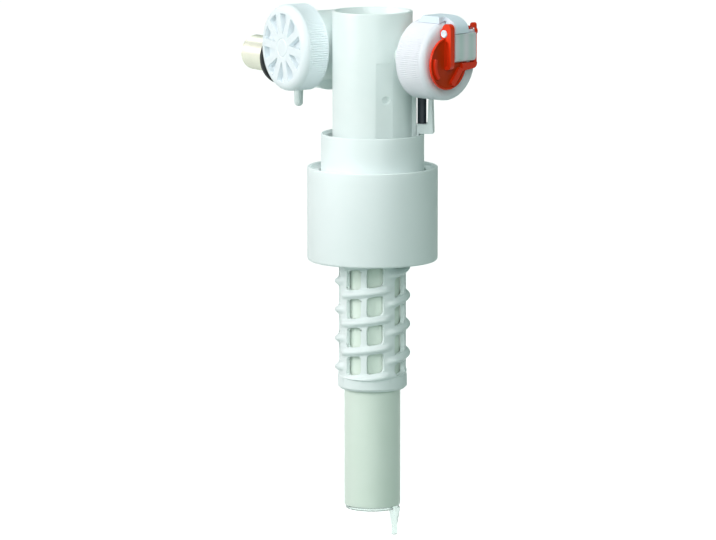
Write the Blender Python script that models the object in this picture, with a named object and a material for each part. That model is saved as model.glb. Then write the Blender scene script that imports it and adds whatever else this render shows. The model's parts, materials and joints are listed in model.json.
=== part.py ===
"""Side-inlet fill valve of a toilet cistern, modelled as the separate pieces that it is made of.

The valve is laid out round its upright column: heights are measured from the end of the outlet
tube and angles from the strainer's side, seen from above. At the end everything hangs under one
empty, which puts the origin where the inlet's axis meets the cistern wall.
Units are metres. Z is up, the inlet shank points along +Y and the strainer cap faces -X.
"""

import math

import bmesh
import bpy
from mathutils import Matrix, Vector

MM = 0.001
UP = Vector((0.0, 0.0, 1.0))
FULL_TURN = 2.0 * math.pi

# Gap between pieces that touch or slide on each other
GAP = 0.3 * MM
# How far a cutter reaches past the face that it cuts
PAST = 2.0 * MM
# Facets round a large, a middling and a small round piece
ROUND = 36
MIDDLE_ROUND = 24
SMALL_ROUND = 14
# Facets in the hood's rounded brow
BROW_STEPS = 5

# Column tube
COLUMN_RADIUS = 18.5 * MM
COLUMN_WALL = 1.6 * MM
COLUMN_TOP = 230.7 * MM
COLUMN_SHOULDER = 160.5 * MM
COLUMN_TAPER = 5.5 * MM
RIM_CHAMFER = 0.5 * MM
STRIP_WIDTH = 8.0 * MM
STRIP_TOP = 208.0 * MM
STRIP_DEPTH = 0.3 * MM
STRIP_ANGLE = math.radians(255.0)
DIMPLE_RADIUS = 1.6 * MM
DIMPLE_HEIGHT = 191.0 * MM
DIMPLE_ASIDE = 0.8 * MM
DIMPLE_DEPTH = 0.5 * MM

# Outlet tube and the socket that holds it
OUTLET_RADIUS = 13.0 * MM
OUTLET_WALL = 1.4 * MM
SOCKET_WALL = 2.7 * MM
SOCKET_BOTTOM = 143.0 * MM
SOCKET_DEPTH = 13.3 * MM
SEAL_THICKNESS = 1.0 * MM
SEAL_WIDTH = 1.8 * MM
SOCKET_SEAL_HEIGHT = 3.3 * MM

# Drip nozzle and straightener in the end of the outlet tube
NOZZLE_RING_WALL = 1.2 * MM
NOZZLE_RING_HEIGHT = 12.0 * MM
NOZZLE_FLANGE = 1.2 * MM
NOZZLE_BLADE = 1.0 * MM
NOZZLE_TOP_RADIUS = 2.7 * MM
NOZZLE_TIP_RADIUS = 1.3 * MM
NOZZLE_CONE_END = -9.6 * MM
NOZZLE_TIP_END = -13.9 * MM
NOZZLE_OFFSET = 10.9 * MM
NOZZLE_ANGLE = math.radians(308.0)

# Strainer chamber behind the column, places along its axis from behind the column's axis
STRAINER_HEIGHT = 212.3 * MM
STRAINER_OFFSET = 30.5 * MM
CHAMBER_RADIUS = 16.3 * MM
CHAMBER_WALL = 4.8 * MM
CHAMBER_BACK = -2.0 * MM
CHAMBER_FLOOR = 0.6 * MM
CHAMBER_END = 25.4 * MM
PLENUM_RADIUS = 8.0 * MM
PLENUM_WALL = 3.0 * MM
PLENUM_BACK = -14.0 * MM
BASKET_WALL = 0.9 * MM
BASKET_PLAY = 1.2 * MM
BASKET_SLOTS = 8
BASKET_SLOT_WIDTH = 4.4 * MM
BASKET_RIB = 2.6 * MM

# Strainer cap with its spokes
STRAINER_CAP_RADIUS = 20.1 * MM
STRAINER_CAP_FACE = 30.3 * MM
STRAINER_CAP_DEPTH = 13.4 * MM
STRAINER_CAP_FILLET = 2.6 * MM
SPOKES = 10
SPOKE_WIDTH = 3.6 * MM
SPOKE_HUB_RADIUS = 6.8 * MM
SPOKE_RIM_RADIUS = 16.8 * MM
SPOKE_TURN = math.radians(-5.0)
POCKET_DEPTH = 1.7 * MM
STRAINER_FLUTES = 30
FLUTE_DEPTH = 0.35 * MM

# Inlet neck, shank and gasket, places along their axis from the strainer's
INLET_OFFSET = 4.9 * MM
INLET_HEIGHT = 203.0 * MM
WALL_PLANE = 41.0 * MM
NECK_RADIUS = 11.5 * MM
NECK_REACH = 5.3 * MM
NECK_NOSE_RADIUS = 9.7 * MM
NECK_NOSE_START = 32.0 * MM
GASKET_RADIUS = 13.0 * MM
GASKET_THICKNESS = 2.0 * MM
SHANK_RADIUS = 8.33 * MM
SHANK_BORE = 5.0 * MM
SHANK_START = 24.0 * MM
SHANK_LENGTH_OUTSIDE = 26.5 * MM
SHANK_CHAMFER = 1.1 * MM
SHANK_SEAL_PLACE = 28.0 * MM
RESTRICTOR_START = 40.0 * MM
RESTRICTOR_LENGTH = 8.0 * MM
RESTRICTOR_BORE = 1.7 * MM
PEG_PLACE = 27.0 * MM
PEG_RADIUS = 2.1 * MM
PEG_TIP_RADIUS = 1.3 * MM
PEG_BOTTOM = 181.0 * MM

# Water duct that crosses the column, from behind the strainer to the valve
HEAD_HEIGHT = 211.0 * MM
HEAD_ANGLE = math.radians(285.0)
DUCT_RADIUS = 4.9 * MM
DUCT_BORE = 3.3 * MM
DUCT_ASIDE = 10.0 * MM
ELBOW_SWELL = 0.35 * MM

# Valve barrel on the right of the column
BARREL_NECK_RADIUS = 7.9 * MM
BARREL_NECK_WALL = 1.6 * MM
BARREL_NECK_ASIDE = 3.0 * MM
BARREL_RADIUS = 15.9 * MM
BARREL_SHOULDER = 31.9 * MM
BARREL_END = 40.2 * MM
BARREL_FLOOR = 34.2 * MM
BARREL_WALL = 3.6 * MM
SEAT_FLANGE = 1.1 * MM
SEAT_SPIGOT = 4.0 * MM
SEAT_LIP_RADIUS = 3.6 * MM
SEAT_LIP_END = 39.2 * MM
SEAT_BORE = 2.2 * MM
DUCT_END = 36.2 * MM
DIAPHRAGM_THICKNESS = 0.7 * MM
DIAPHRAGM_HOLE = 7.6 * MM
PLUNGER_THICKNESS = 1.8 * MM
PLUNGER_TRAVEL = 1.0 * MM
PLUNGER_PIN_RADIUS = 1.0 * MM
PLUNGER_PIN_LENGTH = 3.0 * MM

# Valve cap
VALVE_CAP_RADIUS = 18.3 * MM
VALVE_CAP_BACK = 31.3 * MM
VALVE_CAP_FACE = 48.0 * MM
VALVE_CAP_FILLET = 3.4 * MM
VALVE_CAP_FLUTES = 30
VALVE_CAP_CAVITY_RADIUS = 12.2 * MM
VALVE_CAP_FRONT_WALL = 3.0 * MM
PILOT_BORE = 0.9 * MM
PILOT_ACROSS = -4.4 * MM
PILOT_HEIGHT = -4.5 * MM

# Hood over the valve cap, places along the head's axis and across it
HOOD_BACK = 29.0 * MM
HOOD_FRONT = 54.6 * MM
HOOD_LEFT = -3.2 * MM
HOOD_RIGHT = 7.4 * MM
HOOD_TOP = 20.6 * MM
HOOD_BROW = 44.0 * MM
HOOD_BROW_DROP = 6.0 * MM
HOOD_EDGE = 15.6 * MM
HOOD_PLATE = 1.6 * MM
HOOD_PLATE_BOTTOM = 12.9 * MM
HOOD_SLOPE = 3.6 * MM
HOOD_CORNER = 1.5 * MM

# Pivot block in front of the valve cap
BLOCK_LEFT = -3.6 * MM
BLOCK_RIGHT = 10.8 * MM
BLOCK_BOTTOM = -0.3 * MM
BLOCK_TOP = 16.0 * MM
BLOCK_CORNER = 2.2 * MM

# Lever, its fork and its pin
PIVOT_PLACE = 51.2 * MM
PIVOT_HEIGHT = 13.0 * MM
PIN_RADIUS = 1.75 * MM
PIN_STICKS_OUT = 0.5 * MM
LEVER_BACK = 50.4 * MM
ARM_BACK = 50.0 * MM
LEVER_DISC_RADIUS = 12.1 * MM
LEVER_DISC_THICKNESS = 1.4 * MM
LEVER_DISC_ACROSS = -5.4 * MM
LEVER_DISC_HEIGHT = -1.2 * MM
ARM_DEPTH = 5.2 * MM
LEFT_ARM_WIDTH = 3.6 * MM
RIGHT_ARM_WIDTH = 1.8 * MM
RIGHT_ARM_DEPTH = 3.4 * MM
EYE_RADIUS = 2.6 * MM
ARM_CLEARANCE = 0.4 * MM
ARM_TOP = 17.5 * MM
LEFT_ARM_BOTTOM = -3.5 * MM
ARM_GROOVE_WIDTH = 1.0 * MM
ARM_GROOVE_DEPTH = 0.6 * MM
BRIDGE_BOTTOM = -6.0 * MM
BRIDGE_TOP = -1.0 * MM
RIB_HEIGHT = 1.1 * MM
RIB_WIDTH = 1.5 * MM
CURVED_RIB_START = math.radians(165.0)
CURVED_RIB_END = math.radians(215.0)
STRAIGHT_RIB_TOP = (3.5 * MM, -2.8 * MM)
STRAIGHT_RIB_FOOT = (-3.5 * MM, -10.0 * MM)
REAR_ARM_WIDTH = 1.8 * MM
REAR_ARM_BOTTOM = 14.2 * MM
REAR_ARM_TOP = 16.4 * MM
REAR_ARM_INSET = 1.0 * MM
FORK_DROP = 5.0 * MM
FORK_THICKNESS = 1.6 * MM
FORK_WALL = 1.4 * MM
FORK_SLOT_PLAY = 0.5 * MM
PAD_RADIUS = 2.4 * MM
PAD_THICKNESS = 1.0 * MM
PAD_PROUD = 0.6 * MM

# Push rod, its clip and the guide rail, all on one line down the column
ROD_ANGLE = math.radians(321.7)
ROD_PLACE = 22.9 * MM
ROD_RADIUS = 2.1 * MM
ROD_NECK_RADIUS = 1.2 * MM
ROD_NECK_PLAY = 0.6 * MM
ROD_HEAD = 1.6 * MM
RAIL_WIDTH = 2.4 * MM
RAIL_HEIGHT = 1.8 * MM
RAIL_TOP = 192.0 * MM
CLIP_FOOT = 4.5 * MM
CLIP_WIDTH = 8.4 * MM
CLIP_OUTER = 28.4 * MM
CLIP_WALL = 2.6 * MM
CLIP_TOP = 192.0 * MM
CLIP_HOOK = 8.0 * MM
CLIP_HOOK_WALL = 1.3 * MM
ROD_SOCKET_DEPTH = 2.8 * MM

# Carrier, the collar that slides on the column
COLLAR_RADIUS = 23.85 * MM
COLLAR_WALL = 1.5 * MM
COLLAR_BOTTOM = 131.0 * MM
COLLAR_TOP = 174.0 * MM
COLLAR_WEB = 2.5 * MM
COLLAR_LIP = 0.7 * MM
GUIDE_RIB_WIDTH = 1.2 * MM
GUIDE_RIB_BOTTOM = 162.0 * MM
GUIDE_RIB_TOP = 172.0 * MM
GUIDE_RIB_SPREAD = math.radians(7.5)

# Lattice sleeve with its two-start thread
SLEEVE_RADIUS = 15.75 * MM
SLEEVE_WALL = 2.0 * MM
SLEEVE_BOTTOM = 55.0 * MM
SLEEVE_FLANGE = 2.2 * MM
SLEEVE_FLANGE_RADIUS = 19.5 * MM
SLEEVE_BAND_TOP = 61.5 * MM
SLEEVE_BAND_PROUD = 0.3 * MM
SLEEVE_CHAMFER = 1.2 * MM
THREAD_LEAD = 13.4 * MM
THREAD_STARTS = 2
THREAD_HEIGHT = 1.8 * MM
THREAD_BASE = 4.2 * MM
THREAD_CREST = 1.8 * MM
THREAD_TOP = 130.0 * MM
THREAD_PHASE_HEIGHT = 101.7 * MM
THREAD_PHASE_ANGLE = math.radians(238.0)
WINDOW_GROUPS = 4
WINDOW_ANGLE = math.radians(29.5)
WINDOW_BAR = math.radians(10.0)
WINDOW_GROUP_START = math.radians(188.5)
WINDOW_BOTTOM = 62.8 * MM
WINDOW_TOP = 128.0 * MM
FACETS_PER_WINDOW = 2
FACETS_PER_STRIP = 2

# Float with its threaded hub
FLOAT_RADIUS = 30.2 * MM
FLOAT_WALL = 1.6 * MM
FLOAT_BOTTOM = 115.0 * MM
FLOAT_HEIGHT = 43.6 * MM
FLOAT_LEDGE_DROP = 1.6 * MM
FLOAT_FILLET = 1.2 * MM
FLOAT_COLLAR_PLAY = 0.9 * MM
HUB_PLAY = 0.35 * MM
HUB_HEIGHT = 12.0 * MM
LUG_ANGLE = math.radians(30.0)
LUG_REACH = 1.7 * MM
LUG_INNER_HALF = 1.0 * MM
LUG_OUTER_HALF = 1.4 * MM


def clear_scene():
    for scene_object in list(bpy.data.objects):
        bpy.data.objects.remove(scene_object, do_unlink=True)


def make_material(name, colour, roughness, metallic=0.0):
    material = bpy.data.materials.new(name)
    material.use_nodes = True
    shader = material.node_tree.nodes["Principled BSDF"]
    shader.inputs["Base Color"].default_value = (*colour, 1.0)
    shader.inputs["Roughness"].default_value = roughness
    shader.inputs["Metallic"].default_value = metallic
    return material


def axis_frame(name, origin, direction, parent):
    """An empty whose Z runs along direction and whose Y is up."""
    along = Vector(direction).normalized()
    across = UP.cross(along)
    empty = bpy.data.objects.new(name, None)
    bpy.context.scene.collection.objects.link(empty)
    turn = Matrix((across, UP, along)).transposed()
    empty.matrix_basis = Matrix.Translation(origin) @ turn.to_4x4()
    empty.parent = parent
    return empty


def plain_frame(name, origin, parent=None):
    empty = bpy.data.objects.new(name, None)
    bpy.context.scene.collection.objects.link(empty)
    empty.location = origin
    empty.parent = parent
    return empty


def merge_flat_fans(mesh):
    """Make one face of the flat fan that a spin leaves round a point on its axis."""
    hubs = []
    for vert in mesh.verts:
        normals = [face.normal for face in vert.link_faces]
        if len(normals) > 6 and all(normals[0].dot(normal) > 0.999999 for normal in normals):
            hubs.append(vert)
    bmesh.ops.dissolve_verts(mesh, verts=hubs)


def link_mesh(name, mesh, parent, material=None):
    """Turn a bmesh into an object with tidy, outward-facing, partly smooth faces."""
    bmesh.ops.remove_doubles(mesh, verts=mesh.verts, dist=0.001 * MM)
    bmesh.ops.dissolve_degenerate(mesh, edges=mesh.edges, dist=0.001 * MM)
    bmesh.ops.recalc_face_normals(mesh, faces=mesh.faces)
    merge_flat_fans(mesh)
    data = bpy.data.meshes.new(name)
    mesh.to_mesh(data)
    mesh.free()
    data.shade_smooth()
    data.set_sharp_from_angle(angle=math.radians(35.0))
    piece = bpy.data.objects.new(name, data)
    bpy.context.scene.collection.objects.link(piece)
    piece.parent = parent
    if material:
        data.materials.append(material)
    else:
        piece.hide_render = True
        piece.display_type = "WIRE"
    return piece


def turned_mesh(profile, segments):
    """Spin a closed profile of (radius, height) points about Z."""
    mesh = bmesh.new()
    ring = [mesh.verts.new((radius, 0.0, height)) for radius, height in profile]
    edges = []
    for start, end in zip(ring, ring[1:] + ring[:1]):
        if start.co.x > 0.0 or end.co.x > 0.0:
            edges.append(mesh.edges.new((start, end)))
    bmesh.ops.spin(mesh, geom=ring + edges, cent=(0.0, 0.0, 0.0), axis=(0.0, 0.0, 1.0),
                   angle=FULL_TURN, steps=segments, use_merge=True)
    return mesh


def turned(name, profile, parent, material=None, segments=ROUND, location=(0.0, 0.0, 0.0)):
    piece = link_mesh(name, turned_mesh(profile, segments), parent, material)
    piece.location = location
    return piece


def rod_profile(radius, low, high):
    return [(0.0, low), (radius, low), (radius, high), (0.0, high)]


def ball_profile(radius, height, steps):
    return arc((0.0, height), radius, -math.pi / 2, math.pi / 2, steps)


def ring_profile(inner, outer, low, high):
    return [(inner, low), (outer, low), (outer, high), (inner, high)]


def knurled(name, profile, flutes, band, parent, material):
    """A turned piece whose outer points between the heights of band carry flutes."""
    mesh = turned_mesh(profile, 2 * flutes)
    bmesh.ops.remove_doubles(mesh, verts=mesh.verts, dist=0.001 * MM)
    widest = max(radius for radius, height in profile)
    for vert in mesh.verts:
        radius = math.hypot(vert.co.x, vert.co.y)
        if radius < widest - GAP or not band[0] <= vert.co.z <= band[1]:
            continue
        step = round(math.atan2(vert.co.y, vert.co.x) / FULL_TURN * 2 * flutes)
        if step % 2:
            vert.co.x *= (radius - FLUTE_DEPTH) / radius
            vert.co.y *= (radius - FLUTE_DEPTH) / radius
    return link_mesh(name, mesh, parent, material)


def prism(name, outline, low, high, parent, material=None, along="Z"):
    """Extrude an outline. Along X it holds (y, z) points, along Y (z, x) and along Z (x, y)."""
    mesh = bmesh.new()
    verts = []
    for first, second in outline:
        place = {"X": (low, first, second), "Y": (second, low, first), "Z": (first, second, low)}
        verts.append(mesh.verts.new(place[along]))
    face = mesh.faces.new(verts)
    shift = {"X": (high - low, 0, 0), "Y": (0, high - low, 0), "Z": (0, 0, high - low)}
    moved = bmesh.ops.extrude_face_region(mesh, geom=[face])["geom"]
    lifted = [item for item in moved if isinstance(item, bmesh.types.BMVert)]
    bmesh.ops.translate(mesh, verts=lifted, vec=shift[along])
    return link_mesh(name, mesh, parent, material)


def box(name, low, high, parent, material=None):
    outline = [(low[0], low[1]), (high[0], low[1]), (high[0], high[1]), (low[0], high[1])]
    return prism(name, outline, low[2], high[2], parent, material)


def arc(centre, radius, start, end, steps):
    points = []
    for step in range(steps + 1):
        angle = start + (end - start) * step / steps
        points.append((centre[0] + radius * math.cos(angle), centre[1] + radius * math.sin(angle)))
    return points


def combine(target, other, operation):
    modifier = target.modifiers.new(other.name, "BOOLEAN")
    modifier.operation = operation
    modifier.solver = "EXACT"
    modifier.object = other


def add(target, other):
    combine(target, other, "UNION")


def cut(target, other):
    combine(target, other, "DIFFERENCE")


def combine_all(target, name, others, operation):
    """One Boolean with several shapes, which may overlap each other."""
    shapes = bpy.data.collections.new(name)
    bpy.context.scene.collection.children.link(shapes)
    for other in others:
        bpy.context.scene.collection.objects.unlink(other)
        shapes.objects.link(other)
    modifier = target.modifiers.new(name, "BOOLEAN")
    modifier.operation = operation
    modifier.solver = "EXACT"
    modifier.operand_type = "COLLECTION"
    modifier.collection = shapes


def on_circle(radius, angle, height):
    return Vector((radius * math.cos(angle), radius * math.sin(angle), height))


def make_frames():
    """The valve's own frame and one frame for each axis that pieces are built on."""
    origin = Vector((INLET_OFFSET, -STRAINER_OFFSET - WALL_PLANE, -INLET_HEIGHT))
    column = plain_frame("column_frame", origin)
    head_way = on_circle(1.0, HEAD_ANGLE, 0.0)
    rod_way = on_circle(1.0, ROD_ANGLE, 0.0)
    frames = {
        "column": column,
        "strainer": axis_frame("strainer_frame", (0, STRAINER_OFFSET, STRAINER_HEIGHT),
                               (-1, 0, 0), column),
        "inlet": axis_frame("inlet_frame", (-INLET_OFFSET, STRAINER_OFFSET, INLET_HEIGHT),
                            (0, 1, 0), column),
        "duct": axis_frame("duct_frame", (0, 0, HEAD_HEIGHT),
                           (DUCT_ASIDE, STRAINER_OFFSET, 0), column),
        "head": axis_frame("head_frame", (0, 0, HEAD_HEIGHT), head_way, column),
        "rod": axis_frame("rod_frame", (0, 0, 0), rod_way, column),
    }
    frames["pivot"] = plain_frame("pivot_frame", (0, PIVOT_HEIGHT, PIVOT_PLACE), frames["head"])
    return frames


def head_place(radius, angle):
    """Where a point beside the column lies across and along the head's axis."""
    across = radius * math.sin(angle - HEAD_ANGLE)
    along = radius * math.cos(angle - HEAD_ANGLE)
    return across, along


def make_main_body(frames, material):
    column = frames["column"]
    socket_radius = OUTLET_RADIUS + GAP + SOCKET_WALL
    body = turned("main_body", [
        (0.0, SOCKET_BOTTOM),
        (socket_radius, SOCKET_BOTTOM),
        (socket_radius, COLUMN_SHOULDER - RIM_CHAMFER - COLUMN_RADIUS + socket_radius),
        (COLUMN_RADIUS, COLUMN_SHOULDER),
        (COLUMN_RADIUS, COLUMN_TOP - RIM_CHAMFER),
        (COLUMN_RADIUS - RIM_CHAMFER, COLUMN_TOP),
        (0.0, COLUMN_TOP),
    ], column, material)
    combine_all(body, "body_outsides", make_body_outsides(frames), "UNION")
    combine_all(body, "body_bores", make_body_bores(frames), "DIFFERENCE")
    combine_all(body, "duct_outsides", make_duct_outsides(frames), "UNION")
    combine_all(body, "duct_bores", make_duct_bores(frames), "DIFFERENCE")
    return body


def make_body_outsides(frames):
    """Chamber, neck, barrel, guide rail and peg, all solid and sunk into the column."""
    sunk = (COLUMN_RADIUS - COLUMN_WALL) / 2
    neck_end = WALL_PLANE - GASKET_THICKNESS - GAP
    chamber = turned("chamber_outside", [
        (0.0, PLENUM_BACK - PLENUM_WALL),
        (PLENUM_RADIUS + PLENUM_WALL, PLENUM_BACK - PLENUM_WALL),
        (PLENUM_RADIUS + PLENUM_WALL, CHAMBER_BACK),
        (CHAMBER_RADIUS, CHAMBER_BACK),
        (CHAMBER_RADIUS, CHAMBER_END),
        (0.0, CHAMBER_END),
    ], frames["strainer"])
    neck = turned("neck_outside", [
        (0.0, -NECK_REACH),
        (NECK_RADIUS - NECK_REACH, -NECK_REACH),
        (NECK_RADIUS, -NECK_REACH / 3),
        (NECK_RADIUS, NECK_NOSE_START),
        (NECK_NOSE_RADIUS, NECK_NOSE_START),
        (NECK_NOSE_RADIUS, neck_end),
        (0.0, neck_end),
    ], frames["inlet"])
    barrel = turned("barrel_outside", rod_profile(BARREL_RADIUS, BARREL_SHOULDER, BARREL_END),
                    frames["head"])
    barrel_neck = turned("barrel_neck", rod_profile(BARREL_NECK_RADIUS, sunk,
                                                    BARREL_SHOULDER + BARREL_NECK_WALL),
                         frames["head"], location=(BARREL_NECK_ASIDE, 0.0, 0.0))
    rail_foot = COLUMN_SHOULDER + PAST
    rail = prism("guide_rail", [
        (rail_foot, COLUMN_RADIUS - COLUMN_WALL / 2),
        (rail_foot, COLUMN_RADIUS + RAIL_HEIGHT / 2),
        (rail_foot + RAIL_HEIGHT, COLUMN_RADIUS + RAIL_HEIGHT),
        (RAIL_TOP - RAIL_HEIGHT / 2, COLUMN_RADIUS + RAIL_HEIGHT),
        (RAIL_TOP, COLUMN_RADIUS - COLUMN_WALL / 2),
    ], -RAIL_WIDTH / 2, RAIL_WIDTH / 2, frames["rod"], along="X")
    peg_top = INLET_HEIGHT - NECK_RADIUS + PEG_RADIUS
    peg_tip = arc((0.0, PEG_BOTTOM + PEG_TIP_RADIUS), PEG_TIP_RADIUS, -math.pi / 2, 0.0, 3)
    peg = turned("locating_peg", peg_tip + [(PEG_RADIUS, peg_top), (0.0, peg_top)],
                 frames["column"], segments=SMALL_ROUND,
                 location=(-INLET_OFFSET, STRAINER_OFFSET + PEG_PLACE, 0.0))
    return [chamber, neck, barrel, barrel_neck, rail, peg]


def make_body_bores(frames):
    socket_top = SOCKET_BOTTOM + SOCKET_DEPTH
    bore_radius = COLUMN_RADIUS - COLUMN_WALL
    seal_low = SOCKET_BOTTOM + SOCKET_SEAL_HEIGHT
    seal_high = seal_low + SEAL_WIDTH + 2 * GAP
    socket_bore = OUTLET_RADIUS + GAP
    groove = socket_bore + SEAL_THICKNESS + GAP
    throat = OUTLET_RADIUS - OUTLET_WALL
    column_bore = turned("column_bore", [
        (0.0, SOCKET_BOTTOM - PAST),
        (socket_bore, SOCKET_BOTTOM - PAST),
        (socket_bore, seal_low),
        (groove, seal_low),
        (groove, seal_high),
        (socket_bore, seal_high),
        (socket_bore, socket_top),
        (throat, socket_top),
        (throat, socket_top + COLUMN_WALL),
        (bore_radius, COLUMN_SHOULDER + COLUMN_TAPER),
        (bore_radius, COLUMN_TOP + PAST),
        (0.0, COLUMN_TOP + PAST),
    ], frames["column"])
    chamber_bore = turned("chamber_bore", [
        (0.0, PLENUM_BACK),
        (PLENUM_RADIUS, PLENUM_BACK),
        (PLENUM_RADIUS, CHAMBER_FLOOR),
        (CHAMBER_RADIUS - CHAMBER_WALL, CHAMBER_FLOOR),
        (CHAMBER_RADIUS - CHAMBER_WALL, CHAMBER_END + PAST),
        (0.0, CHAMBER_END + PAST),
    ], frames["strainer"])
    seal_bore = SHANK_RADIUS + GAP
    seal_groove = seal_bore + SEAL_THICKNESS + GAP
    neck_bore = turned("neck_bore", [
        (0.0, NECK_REACH / 3),
        (SHANK_BORE, NECK_REACH / 3),
        (SHANK_BORE, SHANK_START - GAP),
        (seal_bore, SHANK_START - GAP),
        (seal_bore, SHANK_SEAL_PLACE),
        (seal_groove, SHANK_SEAL_PLACE),
        (seal_groove, SHANK_SEAL_PLACE + SEAL_WIDTH + 2 * GAP),
        (seal_bore, SHANK_SEAL_PLACE + SEAL_WIDTH + 2 * GAP),
        (seal_bore, WALL_PLANE + PAST),
        (0.0, WALL_PLANE + PAST),
    ], frames["inlet"])
    drain = rod_profile(BARREL_NECK_RADIUS - BARREL_NECK_WALL, bore_radius / 2, BARREL_FLOOR + PAST)
    drain_bore = turned("drain_bore", drain, frames["head"], location=(BARREL_NECK_ASIDE, 0.0, 0.0))
    barrel_room = rod_profile(BARREL_RADIUS - BARREL_WALL, BARREL_FLOOR, BARREL_END + PAST)
    barrel_bore = turned("barrel_bore", barrel_room, frames["head"])
    strip_way = on_circle(1.0, STRIP_ANGLE, 0.0)
    strip_frame = axis_frame("strip_frame", (0, 0, 0), strip_way, frames["column"])
    flat = COLUMN_RADIUS - STRIP_DEPTH
    strip = box("front_strip", (-STRIP_WIDTH / 2, COLLAR_TOP - PAST, flat),
                (STRIP_WIDTH / 2, STRIP_TOP, COLUMN_RADIUS + PAST), strip_frame)
    dimple = turned("gate_dimple", rod_profile(DIMPLE_RADIUS, flat - DIMPLE_DEPTH,
                                               COLUMN_RADIUS + PAST),
                    strip_frame, segments=SMALL_ROUND, location=(DIMPLE_ASIDE, DIMPLE_HEIGHT, 0.0))
    return [column_bore, chamber_bore, neck_bore, drain_bore, barrel_bore, strip, dimple]


def make_duct_outsides(frames):
    """The duct from the chamber to the seat, bent at the column's axis."""
    inlet = turned("duct_inlet", rod_profile(DUCT_RADIUS, ELBOW_SWELL, COLUMN_RADIUS + COLUMN_WALL),
                   frames["duct"], segments=SMALL_ROUND)
    outlet = turned("duct_outlet", rod_profile(DUCT_RADIUS, 2 * ELBOW_SWELL, DUCT_END), frames["head"],
                    segments=SMALL_ROUND)
    elbow = turned("duct_elbow", ball_profile(DUCT_RADIUS + ELBOW_SWELL, HEAD_HEIGHT, 7),
                   frames["column"], segments=SMALL_ROUND)
    return [inlet, outlet, elbow]


def make_duct_bores(frames):
    inlet_end = STRAINER_OFFSET - PLENUM_RADIUS / 2
    inlet = turned("duct_inlet_bore", rod_profile(DUCT_BORE, ELBOW_SWELL, inlet_end),
                   frames["duct"], segments=SMALL_ROUND)
    outlet = turned("duct_outlet_bore", rod_profile(DUCT_BORE, 2 * ELBOW_SWELL, DUCT_END + PAST),
                    frames["head"], segments=SMALL_ROUND)
    elbow = turned("duct_elbow_bore", ball_profile(DUCT_BORE + ELBOW_SWELL, HEAD_HEIGHT, 5),
                   frames["column"], segments=SMALL_ROUND)
    return [inlet, outlet, elbow]


def make_outlet(frames, tube_material, seal_material, nozzle_material):
    column = frames["column"]
    inner = OUTLET_RADIUS - OUTLET_WALL
    tube_top = SOCKET_BOTTOM + SOCKET_DEPTH - GAP
    turned("outlet_tube", [
        (inner, 0.0),
        (OUTLET_RADIUS - RIM_CHAMFER, 0.0),
        (OUTLET_RADIUS, RIM_CHAMFER),
        (OUTLET_RADIUS, tube_top),
        (inner, tube_top),
    ], column, tube_material)
    low = SOCKET_BOTTOM + SOCKET_SEAL_HEIGHT + GAP
    turned("outlet_seal", ring_profile(OUTLET_RADIUS + GAP, OUTLET_RADIUS + GAP + SEAL_THICKNESS,
                                       low, low + SEAL_WIDTH), column, seal_material)
    ring = inner - GAP
    nozzle = turned("drip_nozzle", [
        (ring - NOZZLE_RING_WALL, -NOZZLE_FLANGE - GAP),
        (OUTLET_RADIUS - RIM_CHAMFER, -NOZZLE_FLANGE - GAP),
        (OUTLET_RADIUS - RIM_CHAMFER, -GAP),
        (ring, -GAP),
        (ring, NOZZLE_RING_HEIGHT),
        (ring - NOZZLE_RING_WALL, NOZZLE_RING_HEIGHT),
    ], column, nozzle_material)
    for turn in range(2):
        half = ring - NOZZLE_RING_WALL / 2
        blade = box(f"nozzle_blade_{turn + 1}", (-half, -NOZZLE_BLADE / 2, PAST),
                    (half, NOZZLE_BLADE / 2, NOZZLE_RING_HEIGHT - PAST), column)
        blade.rotation_euler = (0.0, 0.0, NOZZLE_ANGLE + turn * math.pi / 2)
        add(nozzle, blade)
    place = on_circle(NOZZLE_OFFSET, NOZZLE_ANGLE, 0.0)
    tip = turned("nozzle_tip", [
        (0.0, NOZZLE_TIP_END),
        (NOZZLE_TIP_RADIUS, NOZZLE_TIP_END),
        (NOZZLE_TIP_RADIUS, NOZZLE_CONE_END),
        (NOZZLE_TOP_RADIUS, -GAP - NOZZLE_FLANGE / 2),
        (0.0, -GAP - NOZZLE_FLANGE / 2),
    ], column, segments=SMALL_ROUND, location=place)
    add(nozzle, tip)


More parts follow.
